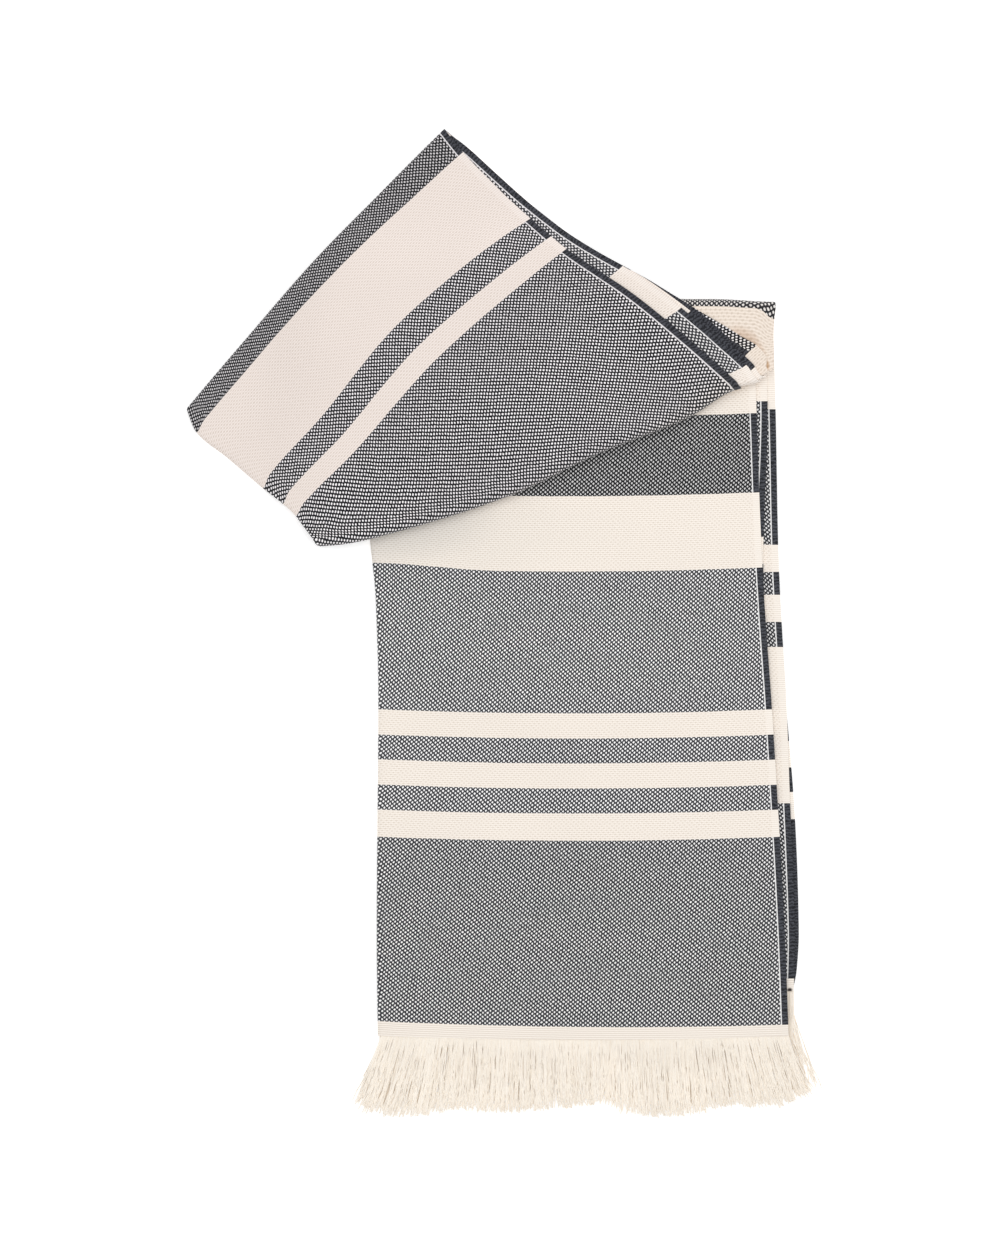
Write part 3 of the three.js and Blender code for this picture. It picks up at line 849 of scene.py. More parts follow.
@dataclass(frozen=True)
class StripedWeave:
    """The woven cotton: cream stripes, and charcoal ones flecked with the off-white warp."""

    name: str = "woven_cotton"
    uv_name: str = "cloth"
    cotton: Cotton = Cotton(roughness=0.92, bump_strength=0.5, bump_depth=0.0003)
    cream: tuple = rgb(252, 244, 235)
    selvedge_cream: tuple = rgb(251, 246, 239)
    rib: tuple = rgb(214, 201, 186)
    warp: tuple = rgb(255, 254, 253)
    charcoal: tuple = rgb(76, 77, 83)
    black: tuple = rgb(18, 19, 23)
    band: tuple = rgb(74, 76, 83)
    band_rib: tuple = rgb(24, 26, 31)
    untinted: tuple = (1.0, 1.0, 1.0, 1.0)
    fleck_across: float = 4.14
    pick: float = 1.79
    fleck_shift: float = 0.4225
    fleck_waves: tuple[float, ...] = (1.0, 1.0, 1.1, 0.5)
    fleck_rim: tuple[float, float] = (-0.05, 0.27)
    tufts_per_pick: float = 0.6
    tuft_jitter: float = 1.6
    wander_scale: float = 55.0
    wander_across: float = 0.5
    wander_along: float = 0.35
    jitter_scale: float = 330.0
    jitter_across: float = 0.3
    streak_scales: tuple[tuple[float, float, float], ...] = ((380, 30, 1), (40, 560, 1))
    streak_tone: float = 0.4
    speck_scale: float = 520.0
    speck_tone: float = 0.5
    band_width: float = 5.2
    line_width: float = 1.0
    line_tone: float = 0.8
    selvedge_tone: float = 0.3
    rib_tone: float = 0.5
    hem_rib_tone: float = 0.7
    light_fleck_tone: float = 0.3
    heights: tuple[float, float, float] = (0.6, -0.4, 0.25)
    cloth_width: float = 700.0
    body_length: float = 1979.7
    uv_span: float = 2020.0
    uv_start: float = 15.0
    # Painted shade along the cloth: darker and warm at the far corner, darker and mauve on the arm.
    painted_shade_tints: tuple[tuple[float, float, float, float], ...] = (
        (560, 1.0, 1.0, 1.0), (615, 0.92, 0.88, 0.85), (680, 0.92, 0.88, 0.85),
        (700, 0.92, 0.895, 0.92), (1000, 0.92, 0.895, 0.92), (1500, 1.0, 1.0, 1.0),
    )
    painted_shades_and_speck: tuple[PaintedShadeAndSpeck, ...] = (
        # Painted shade: the first two paint the shade of the far corner's dimple and of its fold pocket,
        # the next two the arm's shadow on the light stripe below its crease. The last is a real dark
        # speck, a thread's end at the inner hem.
        PaintedShadeAndSpeck(27.0, 631.5, 15.0, 8.0, 2.7, (0.82, 0.73, 0.66, 1.0)),
        PaintedShadeAndSpeck(14.5, 641.0, 4.0, 2.6, 2.4, (0.70, 0.52, 0.36, 1.0)),
        PaintedShadeAndSpeck(362.0, 428.0, 120.0, 44.0, 0.10, (0.86, 0.875, 0.89, 1.0)),
        PaintedShadeAndSpeck(280.0, 423.0, 330.0, 56.0, 0.0, (0.93, 0.94, 0.945, 1.0)),
        PaintedShadeAndSpeck(3.4, 1988.8, 3.0, 2.4, 0.0, (0.03, 0.02, 0.02, 1.0)),
    )
    stripes: tuple[Stripe, ...] = (
        Stripe(0.0, 161.2, 0.40, 0.90),
        Stripe(183.1, 205.4, 0.50, 1.00),
        Stripe(225.8, 248.8, 0.50, 1.00),
        Stripe(269.8, 391.8, 0.50, 1.00),
        Stripe(455.0, 524.2, 0.00, 0.66),
        Stripe(595.0, 613.0, 0.20, 0.85),
        Stripe(671.0, 863.2, 0.05, 1.00),
        Stripe(882.0, 907.6, 0.05, 1.00),
        Stripe(985.3, 1014.6, 0.00, 0.70),
        Stripe(1021.6, 1204.8, 0.30, 0.90),
        Stripe(1260.5, 1327.0, 0.30, 0.90),
        Stripe(1490.0, 1607.6, 0.30, 0.80),
        Stripe(1629.2, 1650.4, 0.30, 0.80),
        Stripe(1672.4, 1694.0, 0.30, 0.80),
        Stripe(1829.0, 1979.7, 0.30, 0.80),
    )

    def share(self, length: Value | float) -> Value | float:
        """Give a length along the cloth as a share of the UV map's span."""
        return (length + self.uv_start) / self.uv_span

    def dark_mask(self, graph: Graph, length: Value) -> Value:
        """Add the value that is 1 in the dark stripes and 0 between them.

        Args:
            graph: The material's graph.
            length: The length along the cloth, in millimetres.

        Returns:
            The value.
        """
        total = graph.within(length, self.stripes[0].start, self.stripes[0].end)
        for stripe in self.stripes[1:]:
            total = total + graph.within(length, stripe.start, stripe.end)
        return total

    def tones(self, graph: Graph, length: Value) -> tuple[Value, Value]:
        """Add the ramp that gives each dark stripe its own tones.

        Args:
            graph: The material's graph.
            length: The length along the cloth, in millimetres.

        Returns:
            The tone of the weft and that of the flecks.
        """
        stops, before = [], -self.uv_start
        for stripe in self.stripes:
            place = self.share((before + stripe.start) / 2) if stops else 0.0
            stops.append((place, (stripe.weft, stripe.flecks, 0, 1)))
            before = stripe.end
        colour = graph.colour_ramp(self.share(length), stops, "CONSTANT")
        split = graph.add("ShaderNodeSeparateColor", {"Color": colour})
        return graph.out(split, "Red"), graph.out(split, "Green")

    def tint(self, graph: Graph, length: Value) -> Value:
        """Give the slow change of tint along the cloth, which is painted shade: darker and warm at the
        far corner, darker and mauve on the arm.
        """
        stops = [(self.share(place), (*tint, 1)) for place, *tint in self.painted_shade_tints]
        return graph.colour_ramp(self.share(length), stops)

    def fleck_mask(self, graph: Graph, across: Value, picks: Value) -> Value:
        """Add the off-white warp flecks, in staggered rows whose slant the inner half mirrors.

        Args:
            graph: The material's graph.
            across: Place across the cloth, in flecks.
            picks: Place along the cloth, in picks.

        Returns:
            A mask of the flecks.
        """
        middle = (self.body_length / 2 + self.uv_start) / self.pick
        slanted = picks * (1.0 - graph.math("GREATER_THAN", picks, middle) * 2.0)
        first = slanted * self.fleck_shift + across
        second = first - slanted
        waves = [graph.wave(turns) for turns in (first, second, first + second, slanted)]
        parts = [wave * (weight / sum(self.fleck_waves)) for wave, weight in zip(waves, self.fleck_waves)]
        return graph.ramp(parts[0] + parts[1] + parts[2] + parts[3], *self.fleck_rim)

    def yarn_tone(self, graph: Graph, place: Value) -> Value:
        """Add the uneven tone of single yarns, as streaks along and across the cloth.

        Args:
            graph: The material's graph.
            place: Place on the cloth, in metres.

        Returns:
            A tone about 1.
        """
        tone = graph.noise(place, self.speck_scale, detail=0) * self.speck_tone + 1.0
        for scales in self.streak_scales:
            drawn = graph.get("ShaderNodeVectorMath", 0, {0: place, 1: scales}, operation="MULTIPLY")
            tone = tone + graph.noise(drawn, 1.0) * self.streak_tone
        return graph.math("ADD", tone, 0.0, clamp=True)

    def lay_painted_shades_and_speck(self, graph: Graph, colour: Value, across: Value, along: Value) -> Value:
        """Lay the painted shade and the dark speck over a colour.

        Args:
            graph: The material's graph.
            colour: The colour.
            across: Place across the cloth, in millimetres.
            along: Place along the cloth, in millimetres.

        Returns:
            The shaded colour.
        """
        for shade in self.painted_shades_and_speck:
            patch_part = shade.patch_part(graph, across, along)
            colour = graph.multiply(colour, graph.mix(patch_part, self.untinted, shade.tint))
        return colour

    def material(self) -> bpy.types.Material:
        """Build the cloth's material.

        Returns:
            The material.
        """
        material, graph, shader = new_material(self.name, self.cotton.settings)
        span = self.uv_span * MM
        flat = graph.get("ShaderNodeUVMap", "UV", uv_map=self.uv_name)
        place = graph.get("ShaderNodeMapping", "Vector", {"Vector": flat, "Scale": (span,) * 3})
        split = graph.add("ShaderNodeSeparateXYZ", {"Vector": place})
        x, y = graph.out(split, "X"), graph.out(split, "Y")
        tone, fuzz = self.cotton.fibre(graph, place)

        wander = graph.noise(place, self.wander_scale, detail=3)
        jitter = graph.noise(place, self.jitter_scale, detail=1)
        across = x / (self.fleck_across * MM) + wander * self.wander_across
        across = across + jitter * self.jitter_across
        picks = y / (self.pick * MM) + wander * self.wander_along
        length = (graph.math("FLOOR", picks) + 0.5) * self.pick - self.uv_start
        dark = self.dark_mask(graph, length)
        body = graph.within(length, 0, self.body_length)
        weft_tone, fleck_tone = self.tones(graph, length)

        edge = graph.math("MINIMUM", self.cloth_width * MM - x, x)
        band = graph.within(edge, 0, self.band_width * MM)
        lined = graph.within(edge, 0, (self.band_width + self.line_width) * MM)
        fleck = self.fleck_mask(graph, across, picks) * (1.0 - lined)
        rib = 0.5 - graph.wave(picks) * 0.5
        tuft = 0.5 - graph.wave(jitter * self.tuft_jitter + picks * self.tufts_per_pick) * 0.5

        shown = fleck * fleck_tone * self.yarn_tone(graph, place)
        weave = graph.mix(shown, graph.mix(weft_tone, self.black, self.charcoal), self.warp)
        weave = graph.mix(band, weave, graph.mix(tuft, self.band_rib, self.band))
        weave = graph.mix((lined - band) * self.line_tone, weave, self.warp)
        rib_tone = self.hem_rib_tone - body * (self.hem_rib_tone - self.rib_tone)
        rib_gap = (1.0 - rib) * rib_tone + fleck * body * self.light_fleck_tone
        light = graph.mix(band * self.selvedge_tone, self.cream, self.selvedge_cream)
        light = graph.mix(rib_gap, light, self.rib)
        # Painted shade along the cloth, on the far corner and the arm.
        colour = graph.multiply(graph.mix(dark, light, weave), self.tint(graph, length))
        # Painted shade of the corner's dimple and fold pocket and of the arm's shadow, and one real dark
        # speck.
        colour = self.lay_painted_shades_and_speck(graph, colour, x / MM, y / MM - self.uv_start)

        fleck_height, rib_height, fuzz_height = self.heights
        height = fleck * fleck_height + rib * rib_height + fuzz * fuzz_height
        self.cotton.finish(graph, shader, colour, tone, height)
        return material


@dataclass(frozen=True)
class FringeYarn:
    """The loose cream yarn of the fringes, with a painted faint glow."""

    name: str
    cotton: Cotton = Cotton(0.9, 0.3, 0.0002, cloud_scale=26.0, cloud_strength=0.16)
    cream: tuple = rgb(247, 241, 232)
    warm: tuple = rgb(238, 224, 204)
    warm_part: float = 0.35
    # Painted light: a faint warm glow, which lifts the shade in the gaps between the yarns as light
    # passing through them would.
    glow: tuple = rgb(255, 228, 196)
    painted_glow_strength: float = 0.055

    def material(self) -> bpy.types.Material:
        """Build the yarn's material, with a painted faint glow that keeps it bright and warms the shade
        between yarns.

        Returns:
            The material.
        """
        glow = {"Emission Color": self.glow, "Emission Strength": self.painted_glow_strength}
        material, graph, shader = new_material(self.name, self.cotton.settings | glow)
        tone, fuzz = self.cotton.fibre(graph, graph.get("ShaderNodeTexCoord", "Object"))
        own = graph.get("ShaderNodeAttribute", "Fac", attribute_name="tone")
        colour = graph.mix(own * self.warm_part, self.cream, self.warm)
        self.cotton.finish(graph, shader, colour, tone, fuzz)
        return material


# ---------------------------------------------------------------- meshes
def object_from(name: str, points: Array, faces: Array, material: bpy.types.Material) -> bpy.types.Object:
    """Make an object from points in millimetres and quad or triangle faces.

    Args:
        name: The object's name.
        points: Points of shape (n, 3).
        faces: Point indices of shape (m, 3 or 4).
        material: Its material.

    Returns:
        The object, linked to the scene, at the origin.
    """
    mesh = bpy.data.meshes.new(name)
    mesh.from_pydata((points * MM).tolist(), [], faces.tolist())
    mesh.materials.append(material)
    made = bpy.data.objects.new(name, mesh)
    bpy.context.scene.collection.objects.link(made)
    return made


def faces_between(near: Array, far: Array) -> Array:
    """Join rows of point indices to the rows beside them by quads."""
    corners = [near[..., :-1], near[..., 1:], far[..., 1:], far[..., :-1]]
    return np.stack(corners, -1).reshape(-1, 4)


def signed_volume(points: Array, faces: Array) -> float:
    """Measure the volume that faces hold.

    Args:
        points: Points of shape (n, 3).
        faces: Point indices of shape (m, 4).

    Returns:
        The volume, negative if the faces point inwards.
    """
    total = 0.0
    for corners in ((0, 1, 2), (0, 2, 3)):
        a, b, c = (points[faces[:, k]] for k in corners)
        total += float(np.einsum("ij,ij->i", a, np.cross(b, c)).sum()) / 6
    return total


@dataclass(frozen=True)
class TowelCloth:
    """The woven cloth: one closed sheet that goes round both halves of the folded strip."""

    fold: StripFold
    weave: StripedWeave
    columns: int = 42
    side_fold_steps: int = 8
    end_fold_steps: int = 8
    rows_in: tuple[int, ...] = (84, 10, 16, 12, 58)
    row_ease: float = 0.4
    column_ease: float = 0.45
    sharp_angle: float = 50.0
    end_step: float = 0.02
    face_slip: Table = Table(
        ("along", "slip"),
        (
            (0, 32.5), (33, 32.5), (100, 22), (176, 15.0), (198, 14.9), (220, 14.5), (242, 15.9),
            (263, 14.3), (285, 15.6), (404, 12.3), (469, 14.3), (537, 12.8), (580, 15.9),
            (614.9, 20.8), (625.8, 12.5), (698, 25.5), (780, 14.5), (1011, 0),
        ),
    )
    inner_slip: Table = Table(
        ("along", "slip"),
        ((0, 3.4), (600, 3.4), (690, -4.0), (780, 3.4), (1011, 3.4)),
    )
    inner_lower_slip: Table = Table(
        ("along", "slip"),
        ((0, 3.4), (600, 3.4), (684, 10.5), (780, 3.4), (1011, 3.4)),
    )
    edge_shift: Table = Table(
        ("station", "shift"),
        (
            (0, 0), (1.2, 0), (1.45, 9), (3.5, 9), (4.0, -9), (4.07, -7.8), (4.12, -6.3),
            (4.17, -4), (4.22, -1), (4.26, 0), (5, 0),
        ),
    )
    slip_zone: float = 0.7
    shift_zone: float = 0.12
    corner_drop: float = 6.0
    corner_zone: float = 0.045
    corner_stations: tuple[float, ...] = (1.3, 1.9, 2.3, 2.8)
    hem_rise: float = -2.8
    hem_rise_length: float = 150.0
    crease_slip: float = 8.2
    fold_curl: float = 3.0
    fold_curl_zone: tuple[float, float] = (-0.01, 0.03)
    fold_curl_stations: tuple[float, float] = (4.0, 4.2)
    drawn_up: float = 4.1
    drawn_up_zone: tuple[float, float] = (0.03, 0.33)
    drawn_up_lengths: tuple[float, ...] = (270.0, 388.0, 440.0, 520.0)
    inner_dark_end: float = 41.3
    inner_start: float = 1979.7
    crossing: float = 1011.3

    def stations(self) -> Array:
        """Work out the rows' places along the strip, closer at both ends of the bottom run and the arm.

        Returns:
            The places, from 0 at the hem to the strip's end.
        """
        places = []
        for start, count in enumerate(self.rows_in):
            part = np.arange(count) / count
            ends = start in (0, len(self.rows_in) - 1)
            places.append(start + (crowded(part, self.row_ease) if ends else part))
        return np.append(np.concatenate(places), STRIP_END)

    def sheet_rows(self, half: Half, turn: float, t: Array, face: int) -> tuple[Array, Array]:
        """Lay out rows of the sheet at an angle round the crosswise fold.

        Args:
            half: The half of the cloth that the rows count as.
            turn: The angle round the crosswise fold: 0 on the outer half and pi on the inner one.
            t: The rows' places along the strip.
            face: +1 or -1, the surface.

        Returns:
            Points and places on the cloth.
        """
        fold = self.fold
        hem = fold.outer_hem if half is Half.OUTER else fold.inner_hem
        bend = fold.layer_pitch / 2 + face * fold.thickness / 2
        radius = fold.layer_pitch + bend * math.cos(turn)
        parts = crowded(np.linspace(0, 1, self.columns), self.column_ease)
        angles = (np.arange(1, self.side_fold_steps) / self.side_fold_steps - 0.5) * math.pi
        sides = np.concatenate([-np.ones(self.columns), np.sin(angles), np.ones(self.columns)])
        t, upper = np.broadcast_arrays(t[:, None], sides > 0)
        row_y = lerp(hem.at(upper, np.ones(upper.shape)), fold.far_axis_y, np.clip(t, 0, 1))
        edge = 1 + fold.reach(upper, half, t, row_y) / fold.flat_width
        flat = np.concatenate([parts[::-1], -np.cos(angles) * radius / fold.flat_width, parts])
        share = np.where(np.abs(sides) < 1, flat, flat * edge)
        points, normals, along = fold.frame_at(t, share, upper, hem)
        points = points + normals * (radius * sides)[:, None]
        if 0 < turn < math.pi:
            behind = fold.middle_surface(t - self.end_step, share, upper, hem)[0]
            ahead = fold.middle_surface(t, share, upper, hem)[0] - behind
            ahead[..., 2] = 0
            ahead /= np.linalg.norm(ahead, axis=-1, keepdims=True)
            points = points + ahead * bend * math.sin(turn)
        return points, self.places(half, turn, t, share, edge, radius, angles, along)

    def places(self, half: Half, turn: float, t: Array, share: Array, edge: Array, radius: float,
               angles: Array, along: Array) -> Array:
        """Work out where points are on the cloth, in millimetres across and along it.

        Args:
            half: The half of the cloth.
            turn: The angle round the crosswise fold.
            t: The rows' places along the strip.
            share: Shares of the strip's width.
            edge: The share of each point's own selvedge.
            radius: The radius round the lengthwise fold.
            angles: The angles of the fold's columns.
            along: Lengths along the strip.

        Returns:
            Places of shape (rows, columns, 2).
        """
        width = self.fold.flat_width
        count = self.columns
        arc = radius * math.pi
        lower_edge, upper_edge = edge[:, :1] * width, edge[:, -1:] * width
        across = np.empty_like(share)
        across[:, :count] = lower_edge - share[:, :count] * width
        across[:, count:-count] = lower_edge + radius * (angles + math.pi / 2)
        across[:, -count:] = lower_edge + arc + share[:, -count:] * width
        across *= self.weave.cloth_width / (lower_edge + arc + upper_edge)
        weight = smoothstep(share, 0, self.slip_zone)
        is_upper = np.arange(share.shape[1]) >= count + len(angles) // 2
        if half is Half.OUTER:
            crease_slip = self.crease_slip * np.interp(t, (2, 3, 4), (0, 1, 0))
            slip = np.where(is_upper, crease_slip, self.face_slip.read("slip", along) * weight)
            near_edge = np.where(is_upper, 0, smoothstep(share, edge - self.corner_zone, edge))
            pattern = along - slip - self.corner_drop * near_edge * plateau(t, *self.corner_stations)
            near_hem = 1 - smoothstep(along, 0, self.hem_rise_length)
            pattern += self.hem_rise * (1 - np.clip(share, 0, 1)) * near_hem
            near_fold = 1 - smoothstep(share, *self.fold_curl_zone)
            pattern += self.fold_curl * near_fold * smoothstep(t, *self.fold_curl_stations)
            under_arm = plateau(along, *self.drawn_up_lengths)
            pattern -= self.drawn_up * (1 - smoothstep(share, *self.drawn_up_zone)) * under_arm
            near_edge = np.where(is_upper, 0, smoothstep(share, edge - self.shift_zone, edge))
            across += self.edge_shift.read("shift", t) * near_edge
        else:
            upper_slip = -self.inner_slip.read("slip", along)
            slip = np.where(is_upper, upper_slip, self.inner_lower_slip.read("slip", along)) * weight
            pattern = self.inner_start - (along - self.inner_dark_end + slip)
        if 0 < turn < math.pi:
            bend_length = self.fold.layer_pitch / 2 * turn
            pattern = np.full_like(along, self.crossing) + bend_length
        return np.stack([across, pattern], axis=-1)

    def build(self) -> bpy.types.Object:
        """Make the cloth's mesh, with its place on the cloth as its UV map.

        Returns:
            The cloth.
        """
        stations = self.stations()
        turns = np.arange(1, self.end_fold_steps) / self.end_fold_steps * math.pi
        parts = [(Half.OUTER, Half.OUTER.value, stations)]
        parts += [(Half.OUTER, turn, stations[-1:]) for turn in turns]
        parts += [(Half.INNER, Half.INNER.value, stations[::-1])]
        surfaces = []
        for face in (1, -1):
            made = [self.sheet_rows(*part, face) for part in parts]
            surface, places = (np.concatenate(rows) for rows in zip(*made))
            surfaces.append(surface.reshape(-1, 3))
        points = np.concatenate(surfaces)
        index = np.arange(len(surfaces[0])).reshape(places.shape[:2])
        back = index + index.size
        pairs = (
            (index[:-1], index[1:]), (back[1:], back[:-1]),
            (index[:, 0], back[:, 0]), (back[:, -1], index[:, -1]),
            (back[0], index[0]), (index[-1], back[-1]),
        )
        faces = np.concatenate([faces_between(near, far) for near, far in pairs])
        if signed_volume(points, faces) < 0:
            faces = faces[:, ::-1]
        cloth = object_from("towel_cloth", points, faces, self.weave.material())
        self.map_cloth(cloth.data, np.concatenate([places.reshape(-1, 2)] * 2))
        cloth.data.polygons.foreach_set("use_smooth", [True] * len(faces))
        cloth.data.set_sharp_from_angle(angle=math.radians(self.sharp_angle))
        return cloth

    def map_cloth(self, mesh: bpy.types.Mesh, places: Array) -> None:
        """Write the UV map, in shares of the span that the weave's shader multiplies by.

        Args:
            mesh: The cloth's mesh.
            places: Each point's place across and along the cloth, in millimetres.
        """
        layer = mesh.uv_layers.new(name=self.weave.uv_name)
        corner = np.empty(len(mesh.loops), int)
        mesh.loops.foreach_get("vertex_index", corner)
        scaled = (places + [0, self.weave.uv_start]) / self.weave.uv_span
        layer.data.foreach_set("uv", scaled[corner].ravel())


# ---------------------------------------------------------------- the fringe
@dataclass(frozen=True)
class YarnLayer:
    """The yarns along the hem of one layer of cloth."""

    side: Side
    count: int
    root_height: float
    level: float
    lean_from: float
    shorter: float


@dataclass(frozen=True)
class Fringe:
    """The loose yarns at one end of the cloth, bent by Geometry Nodes from their roots."""

    name: str
    fold: StripFold
    half: Half
    yarn: FringeYarn
    layers: tuple[YarnLayer, ...]
    seed: int
    yarn_width: float = 0.82
    segments: int = 10
    sides: int = 4
    lock: int = 5
    stray: float = 0.05
    lean_left: float = 0.36
    lean_right: float = 0.35
    lean_limit: float = 0.42
    lean_growth: float = 1.4
    lean_reference: float = 60.0
    lean_curve: float = 1.1
    left_end: float = 0.34
    right_start: float = 0.58
    wave_length: float = 46.0
    root_inset: float = 0.6
    root_places: tuple[float, float] = (0.1, 0.9)
    root_lift: float = 0.35
    fall_length: float = 24.0
    fall_spread: float = 0.9
    lock_lean: float = 0.035
    yarn_lean: float = 0.055
    stray_lean: float = 0.25
    lock_tip: float = 1.5
    yarn_tip: tuple[float, float] = (-1.0, 7.0)
    least_length: float = 12.0
    gather: float = 0.3
    gather_curve: float = 1.6
    wave: float = 0.6
    phase_spread: float = 0.9
    hook: float = 2.0
    hook_curve: float = 4.0
    taper: float = 0.3
    plain_values: tuple[str, ...] = ("lean", "phase", "tone")
    tips: Table = Table(
        ("share", "y"),
        (
            (0, -413), (0.04, -422), (0.12, -425), (0.2, -418), (0.3, -421.5), (0.44, -417),
            (0.56, -413), (0.6, -420), (0.66, -425), (0.77, -421), (0.82, -415), (0.89, -416.5),
            (0.96, -412), (1, -404),
        ),
    )

    def layer_table(self, layer: YarnLayer, rng: np.random.Generator) -> dict[str, Array]:
        """Work out the roots of one layer's yarns and how the yarns lie.

        Args:
            layer: The layer.
            rng: The fringe's random numbers.

        Returns:
            Columns by name: root (n, 3) in millimetres, and lean, late, length, fall, wave, phase,
            gather, hook and tone (n,).
        """
        fold, count = self.fold, layer.count
        hem = fold.outer_hem if self.half is Half.OUTER else fold.inner_hem
        part = (np.arange(count) + rng.uniform(*self.root_places, count)) / count
        upper = np.full(count, layer.side is Side.UPPER)
        hem_y = hem.at(upper, part)
        reach = fold.reach(upper, self.half, np.zeros(count), hem_y)
        share = part * (1 + reach / fold.flat_width)
        root = fold.bottom_point(hem_y + self.root_inset, share)
        root[:, 2] = layer.root_height + rng.uniform(0, self.root_lift, count)
        root[:, 2] += fold.rippled(root[:, 0], root[:, 1])
        lock_of = np.arange(count) // self.lock
        locks = lock_of.max() + 1
        left = np.clip(1 - part / self.left_end, 0, 1) ** self.lean_growth
        right = np.clip((part - self.right_start) / (1 - self.right_start), 0, 1) ** self.lean_growth
        lean = self.lean_right * right - self.lean_left * left
        lean += rng.normal(0, self.lock_lean, locks)[lock_of] + rng.normal(0, self.yarn_lean, count)
        lean += rng.normal(0, self.stray_lean, count) * (rng.uniform(0, 1, count) < self.stray)
        tip = self.tips.read("y", part) + layer.shorter
        tip += np.abs(rng.normal(0, self.lock_tip, locks))[lock_of] + rng.uniform(*self.yarn_tip, count)
        centre = np.array([share[lock_of == k].mean() for k in range(locks)])[lock_of]
        gather = (centre - share) * fold.flat_width * rng.uniform(0, self.gather, locks)[lock_of]
        fall = root[:, 2] - layer.level - rng.uniform(0, self.fall_spread, count) - self.yarn_width / 2
        wave = rng.normal(0, self.wave, locks)[lock_of] + rng.normal(0, self.wave, count)
        phase = rng.uniform(0, 2 * math.pi, locks)[lock_of] + rng.normal(0, self.phase_spread, count)
        return {
            "root": root,
            "lean": np.clip(lean, -self.lean_limit, self.lean_limit),
            "late": np.maximum(root[:, 1] - layer.lean_from, 0),
            "length": np.maximum(root[:, 1] - tip, self.least_length),
            "fall": fall,
            "wave": wave,
            "phase": phase,
            "gather": gather,
            "hook": rng.normal(0, self.hook, count),
            "tone": rng.uniform(0, 1, count),
        }

    def root_object(self) -> bpy.types.Object:
        """Make an object with a point for each yarn, which holds how the yarn lies.

        Returns:
            The object of points.
        """
        rng = np.random.default_rng(self.seed)
        tables = [self.layer_table(layer, rng) for layer in self.layers]
        table = {key: np.concatenate([part[key] for part in tables]) for key in tables[0]}
        mesh = bpy.data.meshes.new(self.name + "_roots")
        mesh.from_pydata((table.pop("root") * MM).tolist(), [], [])
        for key, values in table.items():
            attribute = mesh.attributes.new(key, "FLOAT", "POINT")
            attribute.data.foreach_set("value", values * (1 if key in self.plain_values else MM))
        made = bpy.data.objects.new(self.name, mesh)
        bpy.context.scene.collection.objects.link(made)
        return made

    def sizes(self) -> dict[str, float | int]:
        """Give the sizes that the node tree takes in.

        Returns:
            The sizes by their sockets' names, the lengths in metres.
        """
        return {
            "Yarn radius": self.yarn_width / 2 * MM,
            "Wave length": self.wave_length * MM,
            "Lean reference": self.lean_reference * MM,
            "Lean curve": self.lean_curve,
            "Fall length": self.fall_length * MM,
            "Segments": self.segments,
            "Sides": self.sides,
        }

    def bend(self, graph: Graph, size: Callable[[str], Value]) -> tuple[Value, Value]:
        """Work out how far each point of a straight yarn moves when the yarn is laid.

        Args:
            graph: The tree's graph.
            size: Reads one of the tree's sizes.

        Returns:
            The part of the yarn's length, from 0 to 1, and the offset.
        """

        def held(name: str) -> Value:
            """Read one of the roots' values."""
            named = {"Name": name}
            return graph.get("GeometryNodeInputNamedAttribute", "Attribute", named, data_type="FLOAT")

        factor = graph.get("GeometryNodeSplineParameter", "Factor")
        along = factor * held("length")
        free = graph.math("MAXIMUM", along - held("late"), 0.0)
        reference = size("Lean reference")
        leaned = (free / reference) ** size("Lean curve") * reference * held("lean")
        gathered = factor**self.gather_curve * held("gather")
        turned = along * (2 * math.pi) / size("Wave length")
        waved = graph.math("SINE", turned + held("phase")) * held("wave") * factor
        hooked = factor**self.hook_curve * held("hook")
        fallen = graph.ramp(along, 0.0, size("Fall length"))
        moved = {"X": leaned + gathered + (waved + hooked), "Y": factor - along}
        moved["Z"] = fallen * held("fall") * -1.0
        return factor, graph.get("ShaderNodeCombineXYZ", "Vector", moved)

    def tree(self, material: bpy.types.Material) -> bpy.types.NodeTree:
        """Build the node tree that turns each root into a bent yarn.

        Args:
            material: The yarn's material.

        Returns:
            The tree.
        """
        tree = bpy.data.node_groups.new(self.name + "_yarns", "GeometryNodeTree")
        add_sockets(tree, "INPUT", "Geometry", {"Geometry": None})
        for name, value in self.sizes().items():
            add_sockets(tree, "INPUT", "Int" if isinstance(value, int) else "Float", {name: value})
        add_sockets(tree, "OUTPUT", "Geometry", {"Geometry": None})
        graph = Graph(tree)
        given = graph.add("NodeGroupInput")

        def size(name: str) -> Value:
            """Read one of the tree's inputs."""
            return graph.out(given, name)

